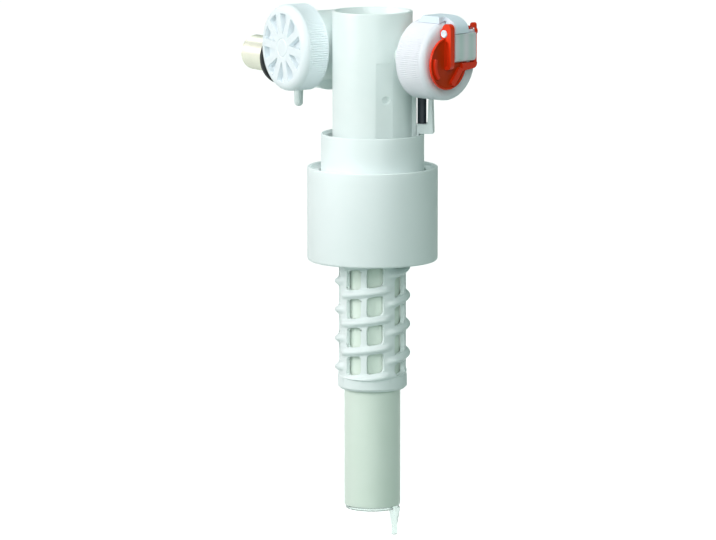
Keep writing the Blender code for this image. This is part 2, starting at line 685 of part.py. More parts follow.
def make_strainer(frames, cap_material, basket_material, seal_material):
    frame = frames["strainer"]
    outer = CHAMBER_RADIUS - CHAMBER_WALL - BASKET_PLAY
    start = CHAMBER_FLOOR + GAP
    end = CHAMBER_END - GAP
    basket = turned("strainer_basket", [
        (outer - BASKET_WALL, start),
        (outer, start),
        (outer, end),
        (0.0, end),
        (0.0, end - BASKET_WALL),
        (outer - BASKET_WALL, end - BASKET_WALL),
    ], frame, basket_material, segments=MIDDLE_ROUND)
    for slot in range(BASKET_SLOTS // 2):
        slit = box(f"basket_slot_{slot + 1}", (-outer - PAST, -BASKET_SLOT_WIDTH / 2, start + BASKET_RIB),
                   (outer + PAST, BASKET_SLOT_WIDTH / 2, end - BASKET_RIB), frame)
        slit.rotation_euler = (0.0, 0.0, slot * FULL_TURN / BASKET_SLOTS)
        cut(basket, slit)

    seal_low = CHAMBER_END + GAP
    seal_high = seal_low + SEAL_THICKNESS
    turned("strainer_seal", ring_profile(CHAMBER_RADIUS - CHAMBER_WALL + GAP,
                                         CHAMBER_RADIUS - GAP, seal_low, seal_high),
           frame, seal_material)

    back = STRAINER_CAP_FACE - STRAINER_CAP_DEPTH
    rounding = arc((STRAINER_CAP_RADIUS - STRAINER_CAP_FILLET,
                    STRAINER_CAP_FACE - STRAINER_CAP_FILLET), STRAINER_CAP_FILLET,
                   0.0, math.pi / 2, 3)
    cap = knurled("strainer_cap", [
        (0.0, back),
        (STRAINER_CAP_RADIUS - RIM_CHAMFER, back),
        (STRAINER_CAP_RADIUS, back + RIM_CHAMFER),
    ] + rounding + [(0.0, STRAINER_CAP_FACE)], STRAINER_FLUTES,
        (back + RIM_CHAMFER - GAP, STRAINER_CAP_FACE - STRAINER_CAP_FILLET + GAP),
        frame, cap_material)
    cut(cap, turned("strainer_cap_inside", rod_profile(CHAMBER_RADIUS + GAP, back - PAST,
                                                       seal_high + GAP), frame))
    pockets = []
    half_turn = math.pi / SPOKES
    inner_turn = half_turn - math.asin(SPOKE_WIDTH / 2 / SPOKE_HUB_RADIUS)
    outer_turn = half_turn - math.asin(SPOKE_WIDTH / 2 / SPOKE_RIM_RADIUS)
    for spoke in range(SPOKES):
        middle = (2 * spoke + 1) * half_turn + SPOKE_TURN
        outline = arc((0.0, 0.0), SPOKE_RIM_RADIUS, middle - outer_turn, middle + outer_turn, 3)
        outline += arc((0.0, 0.0), SPOKE_HUB_RADIUS, middle + inner_turn, middle - inner_turn, 1)
        pockets.append(prism(f"cap_pocket_{spoke + 1}", outline, STRAINER_CAP_FACE - POCKET_DEPTH,
                             STRAINER_CAP_FACE + PAST, frame))
    combine_all(cap, "cap_pockets", pockets, "DIFFERENCE")


def make_inlet(frames, shank_material, gasket_material, seal_material, restrictor_material):
    frame = frames["inlet"]
    end = WALL_PLANE + SHANK_LENGTH_OUTSIDE
    turned("inlet_shank", [
        (SHANK_BORE, SHANK_START),
        (SHANK_RADIUS, SHANK_START),
        (SHANK_RADIUS, end - SHANK_CHAMFER),
        (SHANK_RADIUS - SHANK_CHAMFER, end),
        (SHANK_BORE + SHANK_CHAMFER, end),
        (SHANK_BORE, end - SHANK_CHAMFER),
    ], frame, shank_material)
    turned("shank_gasket", ring_profile(SHANK_RADIUS + GAP, GASKET_RADIUS,
                                        WALL_PLANE - GASKET_THICKNESS, WALL_PLANE),
           frame, gasket_material)
    low = SHANK_SEAL_PLACE + GAP
    turned("shank_seal", ring_profile(SHANK_RADIUS + GAP, SHANK_RADIUS + GAP + SEAL_THICKNESS,
                                      low, low + SEAL_WIDTH), frame, seal_material, segments=MIDDLE_ROUND)
    outside = SHANK_BORE - GAP
    turned("flow_restrictor", [
        (RESTRICTOR_BORE, RESTRICTOR_START),
        (outside, RESTRICTOR_START),
        (outside, RESTRICTOR_START + RESTRICTOR_LENGTH),
        ((outside + RESTRICTOR_BORE) / 2, RESTRICTOR_START + RESTRICTOR_LENGTH),
        (RESTRICTOR_BORE, RESTRICTOR_START + RESTRICTOR_LENGTH / 2),
    ], frame, restrictor_material, segments=SMALL_ROUND)


def make_valve(frames, seat_material, rubber, plunger_material):
    """The seat, the diaphragm and its centre piece, shown open."""
    frame = frames["head"]
    flange = DUCT_END + GAP
    turned("valve_seat", [
        (SEAT_BORE, DUCT_END - SEAT_SPIGOT),
        (DUCT_BORE - GAP, DUCT_END - SEAT_SPIGOT),
        (DUCT_BORE - GAP, flange),
        (DUCT_RADIUS, flange),
        (DUCT_RADIUS, flange + SEAT_FLANGE),
        (SEAT_LIP_RADIUS, flange + SEAT_FLANGE),
        (SEAT_LIP_RADIUS - SEAT_FLANGE / 2, SEAT_LIP_END),
        (SEAT_BORE, SEAT_LIP_END),
    ], frame, seat_material, segments=SMALL_ROUND)
    low = BARREL_END + GAP
    turned("diaphragm", [
        (DIAPHRAGM_HOLE, low),
        (BARREL_RADIUS, low),
        (BARREL_RADIUS, low + DIAPHRAGM_THICKNESS),
        (DIAPHRAGM_HOLE, low + DIAPHRAGM_THICKNESS),
    ], frame, rubber)
    face = SEAT_LIP_END + GAP + PLUNGER_TRAVEL
    turned("valve_plunger", [
        (0.0, face - PLUNGER_PIN_LENGTH),
        (PLUNGER_PIN_RADIUS, face - PLUNGER_PIN_LENGTH),
        (PLUNGER_PIN_RADIUS, face),
        (DIAPHRAGM_HOLE - GAP, face),
        (DIAPHRAGM_HOLE - GAP, face + PLUNGER_THICKNESS),
        (0.0, face + PLUNGER_THICKNESS),
    ], frame, plunger_material, segments=SMALL_ROUND)


def make_valve_cap(frames, material):
    frame = frames["head"]
    fillet_start = VALVE_CAP_FACE - VALVE_CAP_FILLET
    rounding = arc((VALVE_CAP_RADIUS - VALVE_CAP_FILLET, fillet_start), VALVE_CAP_FILLET,
                   0.0, math.pi / 2, 4)
    cap = knurled("valve_cap", [
        (0.0, VALVE_CAP_BACK),
        (VALVE_CAP_RADIUS - 2 * RIM_CHAMFER, VALVE_CAP_BACK),
        (VALVE_CAP_RADIUS, VALVE_CAP_BACK + 2 * RIM_CHAMFER),
    ] + rounding + [(0.0, VALVE_CAP_FACE)], VALVE_CAP_FLUTES,
        (VALVE_CAP_BACK + RIM_CHAMFER, fillet_start + GAP), frame, material)
    clamp = BARREL_END + 2 * GAP + DIAPHRAGM_THICKNESS
    cut(cap, turned("valve_cap_inside", [
        (0.0, VALVE_CAP_BACK - PAST),
        (BARREL_RADIUS + GAP, VALVE_CAP_BACK - PAST),
        (BARREL_RADIUS + GAP, clamp),
        (VALVE_CAP_CAVITY_RADIUS, clamp),
        (VALVE_CAP_CAVITY_RADIUS, VALVE_CAP_FACE - VALVE_CAP_FRONT_WALL),
        (0.0, VALVE_CAP_FACE - VALVE_CAP_FRONT_WALL),
    ], frame))
    cut(cap, turned("pilot_hole", rod_profile(PILOT_BORE, VALVE_CAP_FACE - 2 * VALVE_CAP_FRONT_WALL,
                                              VALVE_CAP_FACE + PAST), frame, segments=SMALL_ROUND,
                    location=(PILOT_ACROSS, PILOT_HEIGHT, 0.0)))


def make_hood(frames, material):
    """A saddle on top of the valve cap that turns down in front of it."""
    frame = frames["head"]
    plate_back = HOOD_FRONT - HOOD_PLATE
    brow = []
    for place, height in arc((0.0, 0.0), 1.0, math.pi / 2, 0.0, BROW_STEPS):
        brow.append((HOOD_TOP - HOOD_BROW_DROP * (1.0 - height),
                     HOOD_BROW + (HOOD_FRONT - HOOD_BROW) * place))
    side = [
        (HOOD_TOP - HOOD_SLOPE, HOOD_BACK),
        (HOOD_TOP, HOOD_BACK + HOOD_SLOPE),
    ] + brow + [
        (HOOD_PLATE_BOTTOM, HOOD_FRONT),
        (HOOD_PLATE_BOTTOM, plate_back),
        (BLOCK_TOP + GAP, plate_back),
        (BLOCK_TOP + GAP, VALVE_CAP_FACE + GAP),
        (HOOD_EDGE, VALVE_CAP_FACE + GAP),
        (HOOD_EDGE, HOOD_BACK),
    ]
    hood = prism("cap_hood", side, HOOD_LEFT, HOOD_RIGHT, frame, material, along="X")
    cut(hood, turned("hood_saddle", rod_profile(VALVE_CAP_RADIUS + GAP, HOOD_BACK - PAST,
                                                VALVE_CAP_FACE + GAP / 2), frame))
    for name, edge, side_way in (("left", HOOD_LEFT, -1.0), ("right", HOOD_RIGHT, 1.0)):
        cut(hood, prism(f"hood_{name}_corner", [
            (edge - side_way * HOOD_CORNER, HOOD_TOP + GAP),
            (edge + side_way * GAP, HOOD_TOP - HOOD_CORNER),
            (edge + side_way * HOOD_CORNER, HOOD_TOP + HOOD_CORNER),
        ], HOOD_BACK - PAST, HOOD_FRONT + PAST, frame))


def make_pivot_block(frames, block_material, pin_material):
    frame = frames["head"]
    nose = HOOD_FRONT
    outline = [
        (BLOCK_BOTTOM, VALVE_CAP_FACE + GAP),
        (BLOCK_BOTTOM, nose - BLOCK_CORNER),
        (BLOCK_BOTTOM + BLOCK_CORNER / 2, nose),
        (HOOD_PLATE_BOTTOM - GAP, nose),
        (HOOD_PLATE_BOTTOM - GAP, nose - HOOD_PLATE - GAP),
        (BLOCK_TOP, nose - HOOD_PLATE - GAP),
        (BLOCK_TOP, VALVE_CAP_FACE + 2 * GAP),
    ]
    block = prism("pivot_block", outline, BLOCK_LEFT, BLOCK_RIGHT, frame, block_material, along="X")
    pin_bore = turned("pin_bore", rod_profile(PIN_RADIUS + GAP, -CLIP_OUTER, CLIP_OUTER),
                      frames["pivot"], segments=SMALL_ROUND)
    pin_bore.rotation_euler = (0.0, math.pi / 2, 0.0)
    cut(block, pin_bore)
    cut(block, box("pin_saddle", (HOOD_RIGHT + GAP, PIVOT_HEIGHT, VALVE_CAP_FACE),
                   (BLOCK_RIGHT + PAST, BLOCK_TOP + PAST, HOOD_FRONT + PAST), frame))
    left = BLOCK_LEFT - ARM_CLEARANCE - LEFT_ARM_WIDTH - PIN_STICKS_OUT
    right = BLOCK_RIGHT + ARM_CLEARANCE + RIGHT_ARM_WIDTH - REAR_ARM_INSET + REAR_ARM_WIDTH
    right += PIN_STICKS_OUT
    crown = PIN_STICKS_OUT / 2
    pin = turned("lever_pin", [
        (0.0, left),
        (PIN_RADIUS - crown, left),
        (PIN_RADIUS, left + crown),
        (PIN_RADIUS, right - crown),
        (PIN_RADIUS - crown, right),
        (0.0, right),
    ], frames["pivot"], pin_material, segments=SMALL_ROUND)
    pin.rotation_euler = (0.0, math.pi / 2, 0.0)
    return pin_bore


def make_lever(frames, pin_bore, red, rubber):
    """Disc, fork and rear arm in one moulding, placed from the pivot."""
    frame = frames["pivot"]

    def at(place, height):
        return place - PIVOT_PLACE, height - PIVOT_HEIGHT

    back, disc_height = at(LEVER_BACK, LEVER_DISC_HEIGHT)
    front = back + LEVER_DISC_THICKNESS
    lever = turned("lever", [
        (0.0, back),
        (LEVER_DISC_RADIUS - GAP, back),
        (LEVER_DISC_RADIUS, back + GAP),
        (LEVER_DISC_RADIUS, front - RIM_CHAMFER),
        (LEVER_DISC_RADIUS - RIM_CHAMFER, front),
        (0.0, front),
    ], frame, red, location=(LEVER_DISC_ACROSS, disc_height, 0.0))

    block_low, block_bottom = at(VALVE_CAP_FACE - PAST, BLOCK_BOTTOM - ARM_CLEARANCE)
    cut(lever, box("block_room", (BLOCK_LEFT - ARM_CLEARANCE, block_bottom, block_low),
                   (BLOCK_RIGHT + ARM_CLEARANCE, block_bottom + HOOD_TOP, front + ARM_DEPTH),
                   frame))

    left_outer = BLOCK_LEFT - ARM_CLEARANCE - LEFT_ARM_WIDTH
    left_inner = BLOCK_LEFT - ARM_CLEARANCE
    right_inner = BLOCK_RIGHT + ARM_CLEARANCE
    right_outer = right_inner + RIGHT_ARM_WIDTH
    rear_inner = right_outer - REAR_ARM_INSET
    rear_outer = rear_inner + REAR_ARM_WIDTH
    arm_back = ARM_BACK - PIVOT_PLACE
    arm_front = arm_back + ARM_DEPTH
    top = ARM_TOP - PIVOT_HEIGHT
    crown = ARM_DEPTH / 2

    def arm_outline(bottom, arm_top, depth):
        crown = depth / 2
        rounded = arc((arm_top - crown, arm_back + crown), crown, -math.pi / 2, math.pi / 2, 6)
        return rounded + [(bottom, arm_back + depth), (bottom, arm_back)]

    for name, low, high in (("left_eye", left_outer, left_inner),
                            ("right_eye", right_inner, rear_outer)):
        eye = turned(name, rod_profile(EYE_RADIUS, low, high), frame, segments=SMALL_ROUND)
        eye.rotation_euler = (0.0, math.pi / 2, 0.0)
        add(lever, eye)
    left_bottom = LEFT_ARM_BOTTOM - PIVOT_HEIGHT
    add(lever, prism("left_arm", arm_outline(left_bottom, top, ARM_DEPTH), left_outer, left_inner,
                     frame, along="X"))
    middle = (left_outer + left_inner) / 2
    cut(lever, box("arm_groove", (middle - ARM_GROOVE_WIDTH / 2, left_bottom + crown,
                                  arm_front - ARM_GROOVE_DEPTH),
                   (middle + ARM_GROOVE_WIDTH / 2, top - 2 * crown, arm_front + PAST), frame))
    bridge_low = BRIDGE_BOTTOM - PIVOT_HEIGHT
    bridge_high = BRIDGE_TOP - PIVOT_HEIGHT
    add(lever, prism("right_arm", arm_outline(bridge_low + crown, EYE_RADIUS, RIGHT_ARM_DEPTH), right_inner,
                     right_outer, frame, along="X"))
    edge = LEVER_DISC_ACROSS + LEVER_DISC_RADIUS - 2 * PAST
    bridge = [(edge, bridge_low - PAST / 2), (right_inner - PAST, bridge_low)]
    bridge += arc((right_outer - 2 * PAST, bridge_low + 2 * PAST), 2 * PAST,
                  -math.pi / 2, 0.0, 4)
    bridge += [(right_outer, bridge_high), (edge, bridge_high)]
    add(lever, prism("arm_bridge", bridge, back + GAP / 2, front + RIB_HEIGHT, frame))

    rib_front = front + RIB_HEIGHT
    rib_room = LEVER_DISC_RADIUS - 2 * RIM_CHAMFER
    curved = arc((LEVER_DISC_ACROSS, disc_height), rib_room, CURVED_RIB_START, CURVED_RIB_END, 5)
    curved += arc((LEVER_DISC_ACROSS, disc_height), rib_room - RIB_WIDTH, CURVED_RIB_END,
                  CURVED_RIB_START, 5)
    add(lever, prism("curved_rib", curved, front - RIM_CHAMFER, rib_front, frame))
    rib_top = Vector(STRAIGHT_RIB_TOP) - Vector((0.0, PIVOT_HEIGHT))
    rib_foot = Vector(STRAIGHT_RIB_FOOT) - Vector((0.0, PIVOT_HEIGHT))
    beside = (rib_foot - rib_top).orthogonal().normalized() * RIB_WIDTH / 2
    straight = [rib_top + beside, rib_top - beside, rib_foot - beside, rib_foot + beside]
    add(lever, prism("straight_rib", straight, front - RIM_CHAMFER, rib_front, frame))

    across, along = head_place(ROD_PLACE, ROD_ANGLE)
    rear_bottom = REAR_ARM_BOTTOM - PIVOT_HEIGHT
    rear_top = REAR_ARM_TOP - PIVOT_HEIGHT
    rod_line = along - PIVOT_PLACE
    slot_half = ROD_NECK_RADIUS + FORK_SLOT_PLAY + GAP
    fork_low = rear_bottom - FORK_DROP
    fork_back = rod_line + slot_half + GAP
    add(lever, box("rear_arm", (rear_inner, rear_bottom, fork_back),
                   (rear_outer, rear_top, -PIN_RADIUS), frame))
    add(lever, box("rear_drop", (rear_inner + GAP / 2, fork_low + GAP / 2, fork_back + GAP / 2),
                   (rear_outer - GAP / 2, rear_top - GAP / 2, VALVE_CAP_BACK - PAST - PIVOT_PLACE),
                   frame))
    slot_end = across + slot_half
    add(lever, box("rear_fork", (across - slot_half - GAP, fork_low,
                                 rod_line - slot_half - FORK_WALL),
                   (slot_end + FORK_WALL, fork_low + FORK_THICKNESS,
                    rod_line + slot_half + FORK_WALL), frame))
    cut(lever, box("fork_slot", (across - slot_half - PAST, fork_low - PAST, rod_line - slot_half),
                   (slot_end, fork_low + FORK_THICKNESS + PAST, rod_line + slot_half), frame))
    cut(lever, pin_bore)

    pad_back = back - PAD_PROUD
    pad_place = (PILOT_ACROSS, PILOT_HEIGHT - PIVOT_HEIGHT, 0.0)
    cut(lever, turned("pad_seat", rod_profile(PAD_RADIUS + GAP, back - PAST,
                                              pad_back + PAD_THICKNESS + GAP),
                      frame, segments=SMALL_ROUND, location=pad_place))
    turned("pilot_pad", rod_profile(PAD_RADIUS, pad_back, pad_back + PAD_THICKNESS), frame, rubber,
           segments=SMALL_ROUND, location=pad_place)


def make_rod_and_clip(frames, rod_material, clip_material):
    column = frames["column"]
    frame = frames["rod"]
    place = on_circle(ROD_PLACE, ROD_ANGLE, 0.0)
    foot_low = COLLAR_TOP + GAP
    foot_high = foot_low + CLIP_FOOT
    rod_low = foot_high - ROD_SOCKET_DEPTH
    fork_middle = HEAD_HEIGHT + REAR_ARM_BOTTOM - FORK_DROP + FORK_THICKNESS / 2
    neck_low = fork_middle - FORK_THICKNESS / 2 - ROD_NECK_PLAY
    neck_high = fork_middle + FORK_THICKNESS / 2 + ROD_NECK_PLAY
    turned("push_rod", [
        (0.0, rod_low),
        (ROD_RADIUS, rod_low),
        (ROD_RADIUS, neck_low - ROD_RADIUS + ROD_NECK_RADIUS),
        (ROD_NECK_RADIUS, neck_low),
        (ROD_NECK_RADIUS, neck_high),
        (ROD_RADIUS, neck_high),
        (ROD_RADIUS, neck_high + ROD_HEAD / 2),
        (ROD_NECK_RADIUS, neck_high + ROD_HEAD),
        (0.0, neck_high + ROD_HEAD),
    ], column, rod_material, segments=SMALL_ROUND, location=place)

    half = CLIP_WIDTH / 2
    hook_outer = COLLAR_RADIUS - COLLAR_WALL - GAP
    hook_inner = hook_outer - CLIP_HOOK_WALL
    outline = [
        (foot_low - CLIP_HOOK, hook_inner),
        (foot_high, hook_inner),
        (foot_high, CLIP_OUTER - CLIP_WALL),
        (CLIP_TOP, CLIP_OUTER - CLIP_WALL + RIM_CHAMFER),
        (CLIP_TOP, CLIP_OUTER - RIM_CHAMFER),
        (foot_low, CLIP_OUTER),
        (foot_low, hook_outer),
        (foot_low - CLIP_HOOK, hook_outer),
    ]
    clip = prism("rod_clip", outline, -half, half, frame, clip_material, along="X")
    trim = turned("clip_trim", [
        (hook_outer, foot_low - CLIP_HOOK - PAST),
        (CLIP_OUTER + PAST, foot_low - CLIP_HOOK - PAST),
        (CLIP_OUTER + PAST, foot_low),
        (hook_outer, foot_low),
    ], column)
    cut(clip, trim)
    cut(clip, turned("rod_socket", rod_profile(ROD_RADIUS + GAP, rod_low - GAP, foot_high + PAST),
                     column, segments=SMALL_ROUND, location=place))


def make_carrier(frames, material):
    column = frames["column"]
    inner = COLLAR_RADIUS - COLLAR_WALL
    hole = SLEEVE_RADIUS + THREAD_HEIGHT + HUB_PLAY
    carrier = turned("carrier", [
        (hole, COLLAR_BOTTOM),
        (COLLAR_RADIUS - RIM_CHAMFER, COLLAR_BOTTOM),
        (COLLAR_RADIUS, COLLAR_BOTTOM + RIM_CHAMFER),
        (COLLAR_RADIUS, COLLAR_TOP - RIM_CHAMFER),
        (COLLAR_RADIUS - RIM_CHAMFER, COLLAR_TOP),
        (inner + COLLAR_LIP, COLLAR_TOP),
        (inner + COLLAR_LIP, COLLAR_TOP - COLLAR_LIP),
        (inner, COLLAR_TOP - COLLAR_LIP),
        (inner, COLLAR_BOTTOM + COLLAR_WEB),
        (hole, COLLAR_BOTTOM + COLLAR_WEB),
    ], column, material)
    angles = [ROD_ANGLE - 2 * GUIDE_RIB_SPREAD, ROD_ANGLE + 2 * GUIDE_RIB_SPREAD]
    angles += [ROD_ANGLE + quarter * math.pi / 2 for quarter in (1, 2, 3)]
    for number, angle in enumerate(angles, start=1):
        rib = box(f"guide_rib_{number}", (COLUMN_RADIUS + GAP, -GUIDE_RIB_WIDTH / 2,
                                          GUIDE_RIB_BOTTOM),
                  (inner + COLLAR_LIP / 2, GUIDE_RIB_WIDTH / 2, GUIDE_RIB_TOP), column)
        rib.rotation_euler = (0.0, 0.0, angle)
        add(carrier, rib)


def sleeve_angles():
    """Facet edges round the sleeve: two windows, the bar between them and a strip, four times."""
    strip = FULL_TURN / WINDOW_GROUPS - 2 * WINDOW_ANGLE - WINDOW_BAR
    parts = [(WINDOW_ANGLE, FACETS_PER_WINDOW, True), (WINDOW_BAR, 1, False),
             (WINDOW_ANGLE, FACETS_PER_WINDOW, True), (strip, FACETS_PER_STRIP, False)]
    angles = [WINDOW_GROUP_START]
    open_columns = []
    for group in range(WINDOW_GROUPS):
        for width, facets, is_window in parts:
            for _ in range(facets):
                angles.append(angles[-1] + width / facets)
                open_columns.append(group if is_window else None)
    return angles, open_columns


def make_lattice(frames, material):
    """The windowed wall with its thread, as a grid of cells that follow the thread's slope."""
    pitch = THREAD_LEAD / THREAD_STARTS
    low_end = SLEEVE_BOTTOM + PAST
    high_end = COLLAR_BOTTOM + COLLAR_WEB + GAP + SLEEVE_FLANGE / 2
    angles, open_columns = sleeve_angles()
    columns = len(open_columns)
    offsets = (-THREAD_BASE / 2, -THREAD_CREST / 2, THREAD_CREST / 2, THREAD_BASE / 2)
    first = -math.ceil((THREAD_PHASE_HEIGHT - low_end) / pitch) - 3
    last = math.ceil((high_end - THREAD_PHASE_HEIGHT) / pitch) + 2
    rows = []
    for thread in range(first, last + 1):
        for place, offset in enumerate(offsets):
            rows.append((THREAD_PHASE_HEIGHT + thread * pitch + offset, thread, place))
    shift = THREAD_STARTS * len(offsets)

    def rise(column):
        return THREAD_LEAD * (angles[column] - THREAD_PHASE_ANGLE) / FULL_TURN

    def has_rib(column, row):
        """A rib runs only beside windows that keep it, and all round near the sleeve's foot."""
        height, thread, place = rows[row]
        height += rise(column)
        if place not in (1, 2) or not SLEEVE_BAND_TOP < height < THREAD_TOP:
            return False
        groups = {open_columns[column], open_columns[column - 1]} - {None}
        kept = {group % THREAD_STARTS for group in groups}
        return height < WINDOW_BOTTOM + THREAD_BASE or thread % THREAD_STARTS in kept

    mesh = bmesh.new()
    grid = {}
    for column in range(columns):
        for row in range(len(rows)):
            radius = SLEEVE_RADIUS + (THREAD_HEIGHT if has_rib(column, row) else 0.0)
            height = min(max(rows[row][0] + rise(column), low_end), high_end)
            outer = mesh.verts.new(on_circle(radius, angles[column], height))
            inner = mesh.verts.new(on_circle(SLEEVE_RADIUS - SLEEVE_WALL, angles[column], height))
            grid[column, row] = (outer, inner)

    def corner(column, row):
        return grid.get((column, row)) if column < columns else grid.get((0, row + shift))

    def solid(column, row):
        """Whether the cell above row and after column is wall."""
        if column < 0:
            column, row = columns - 1, row - shift
        elif column >= columns:
            column, row = 0, row + shift
        if not 0 <= row < len(rows) - 1:
            return False
        if corner(column + 1, row) is None or corner(column + 1, row + 1) is None:
            return False
        low = rows[row][0] + rise(column)
        high = rows[row + 1][0] + rise(column + 1)
        if high <= low_end or low >= high_end:
            return False
        group = open_columns[column]
        if group is None or low < WINDOW_BOTTOM or high > WINDOW_TOP:
            return True
        thread, place = rows[row][1:]
        kept_start = group % THREAD_STARTS
        on_thread = place < len(offsets) - 1
        return on_thread and thread % THREAD_STARTS == kept_start

    for column in range(columns):
        for row in range(len(rows) - 1):
            if not solid(column, row):
                continue
            a, b = corner(column, row), corner(column + 1, row)
            c, d = corner(column + 1, row + 1), corner(column, row + 1)
            mesh.faces.new((a[0], b[0], c[0], d[0]))
            mesh.faces.new((d[1], c[1], b[1], a[1]))
            sides = ((column, row - 1, a, b), (column + 1, row, b, c),
                     (column, row + 1, c, d), (column - 1, row, d, a))
            for next_column, next_row, start, end in sides:
                if not solid(next_column, next_row):
                    mesh.faces.new((start[1], end[1], end[0], start[0]))
    loose = [vert for vert in mesh.verts if not vert.link_faces]
    bmesh.ops.delete(mesh, geom=loose, context="VERTS")
    bmesh.ops.remove_doubles(mesh, verts=mesh.verts, dist=0.001 * MM)
    bmesh.ops.dissolve_limit(mesh, angle_limit=math.radians(0.3), verts=mesh.verts,
                             edges=mesh.edges)
    return link_mesh("lattice_sleeve", mesh, frames["column"], material)


def make_sleeve(frames, material):
    column = frames["column"]
    sleeve = make_lattice(frames, material)
    inner = SLEEVE_RADIUS - SLEEVE_WALL - GAP / 2
    flange_low = COLLAR_BOTTOM + COLLAR_WEB + GAP
    add(sleeve, turned("sleeve_flange", ring_profile(inner, SLEEVE_FLANGE_RADIUS, flange_low,
                                                     flange_low + SLEEVE_FLANGE), column))
    band = SLEEVE_RADIUS + SLEEVE_BAND_PROUD
    add(sleeve, turned("sleeve_band", [
        (inner, SLEEVE_BOTTOM),
        (band - SLEEVE_CHAMFER, SLEEVE_BOTTOM),
        (band, SLEEVE_BOTTOM + SLEEVE_CHAMFER),
        (band, SLEEVE_BAND_TOP - SLEEVE_BAND_PROUD),
        (band - 2 * SLEEVE_BAND_PROUD, SLEEVE_BAND_TOP),
        (inner, SLEEVE_BAND_TOP),
    ], column))


def make_lug(name, angle, height, frame):
    """A short length of thread inside the hub, between two ribs of the sleeve."""
    bore = SLEEVE_RADIUS + THREAD_HEIGHT + HUB_PLAY
    steps = 4
    mesh = bmesh.new()
    loops = []
    for step in range(steps + 1):
        turn = LUG_ANGLE * (step / steps - 0.5)
        middle = height + THREAD_LEAD * turn / FULL_TURN
        section = ((bore - LUG_REACH, -LUG_INNER_HALF), (bore + FLOAT_WALL / 2, -LUG_OUTER_HALF),
                   (bore + FLOAT_WALL / 2, LUG_OUTER_HALF), (bore - LUG_REACH, LUG_INNER_HALF))
        loops.append([mesh.verts.new(on_circle(radius, angle + turn, middle + offset))
                      for radius, offset in section])
    for before, after in zip(loops, loops[1:]):
        for side in range(4):
            following = (side + 1) % 4
            mesh.faces.new((before[side], before[following], after[following], after[side]))
    mesh.faces.new(loops[0])
    mesh.faces.new(loops[-1])
    return link_mesh(name, mesh, frame)


def make_float(frames, material):
    column = frames["column"]
    top = FLOAT_BOTTOM + FLOAT_HEIGHT
    ledge = top - FLOAT_LEDGE_DROP
    shell = FLOAT_RADIUS - FLOAT_WALL
    well = COLLAR_RADIUS + FLOAT_COLLAR_PLAY
    bore = SLEEVE_RADIUS + THREAD_HEIGHT + HUB_PLAY
    hub_top = FLOAT_BOTTOM + HUB_HEIGHT
    top_round = arc((FLOAT_RADIUS - FLOAT_FILLET, top - FLOAT_FILLET), FLOAT_FILLET,
                    0.0, math.pi / 2, 2)
    bottom_round = arc((FLOAT_RADIUS - FLOAT_FILLET, FLOAT_BOTTOM + FLOAT_FILLET), FLOAT_FILLET,
                       -math.pi / 2, 0.0, 2)
    cup = turned("float_cup", bottom_round + top_round + [
        (shell, top),
        (shell, ledge),
        (well, ledge),
        (well, FLOAT_BOTTOM + FLOAT_WALL),
        (bore + FLOAT_WALL, FLOAT_BOTTOM + FLOAT_WALL),
        (bore + FLOAT_WALL, hub_top),
        (bore, hub_top),
        (bore, FLOAT_BOTTOM),
        (well + FLOAT_WALL, FLOAT_BOTTOM),
        (well + FLOAT_WALL, ledge - FLOAT_WALL),
        (shell, ledge - FLOAT_WALL),
        (shell, FLOAT_BOTTOM),
    ], column, material)
    pitch = THREAD_LEAD / THREAD_STARTS
    height = FLOAT_BOTTOM + HUB_HEIGHT / 2
    groove = (height - THREAD_PHASE_HEIGHT - pitch / 2) % pitch
    for number in range(THREAD_STARTS):
        angle = THREAD_PHASE_ANGLE + FULL_TURN * (groove / THREAD_LEAD + number / THREAD_STARTS)
        add(cup, make_lug(f"hub_lug_{number + 1}", angle, height, column))


def main():
    clear_scene()
    frames = make_frames()
    white = make_material("white_plastic", (0.86, 0.92, 0.93), 0.35)
    clear_white = make_material("clear_white_plastic", (0.84, 0.93, 0.93), 0.3)
    lilac_white = make_material("cap_white_plastic", (0.87, 0.88, 0.93), 0.4)
    tube_white = make_material("tube_white_plastic", (0.82, 0.88, 0.82), 0.35)
    clear = make_material("clear_plastic", (0.75, 0.83, 0.8), 0.15)
    red = make_material("red_plastic", (0.8, 0.05, 0.02), 0.3)
    black = make_material("black_plastic", (0.02, 0.025, 0.03), 0.4)
    rubber = make_material("black_rubber", (0.02, 0.02, 0.02), 0.7)
    nickel = make_material("nickel_brass", (0.85, 0.82, 0.7), 0.25, 1.0)

    make_main_body(frames, clear_white)
    make_outlet(frames, tube_white, rubber, clear)
    make_strainer(frames, white, clear, rubber)
    make_inlet(frames, nickel, rubber, rubber, white)
    make_valve(frames, white, rubber, black)
    make_valve_cap(frames, lilac_white)
    make_hood(frames, white)
    pin_bore = make_pivot_block(frames, clear, white)
    make_lever(frames, pin_bore, red, rubber)
    make_rod_and_clip(frames, black, white)
    make_carrier(frames, white)
    make_sleeve(frames, white)
    make_float(frames, white)


main()
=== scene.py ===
import json
import math

import bmesh
import bpy
from mathutils import Matrix, Vector


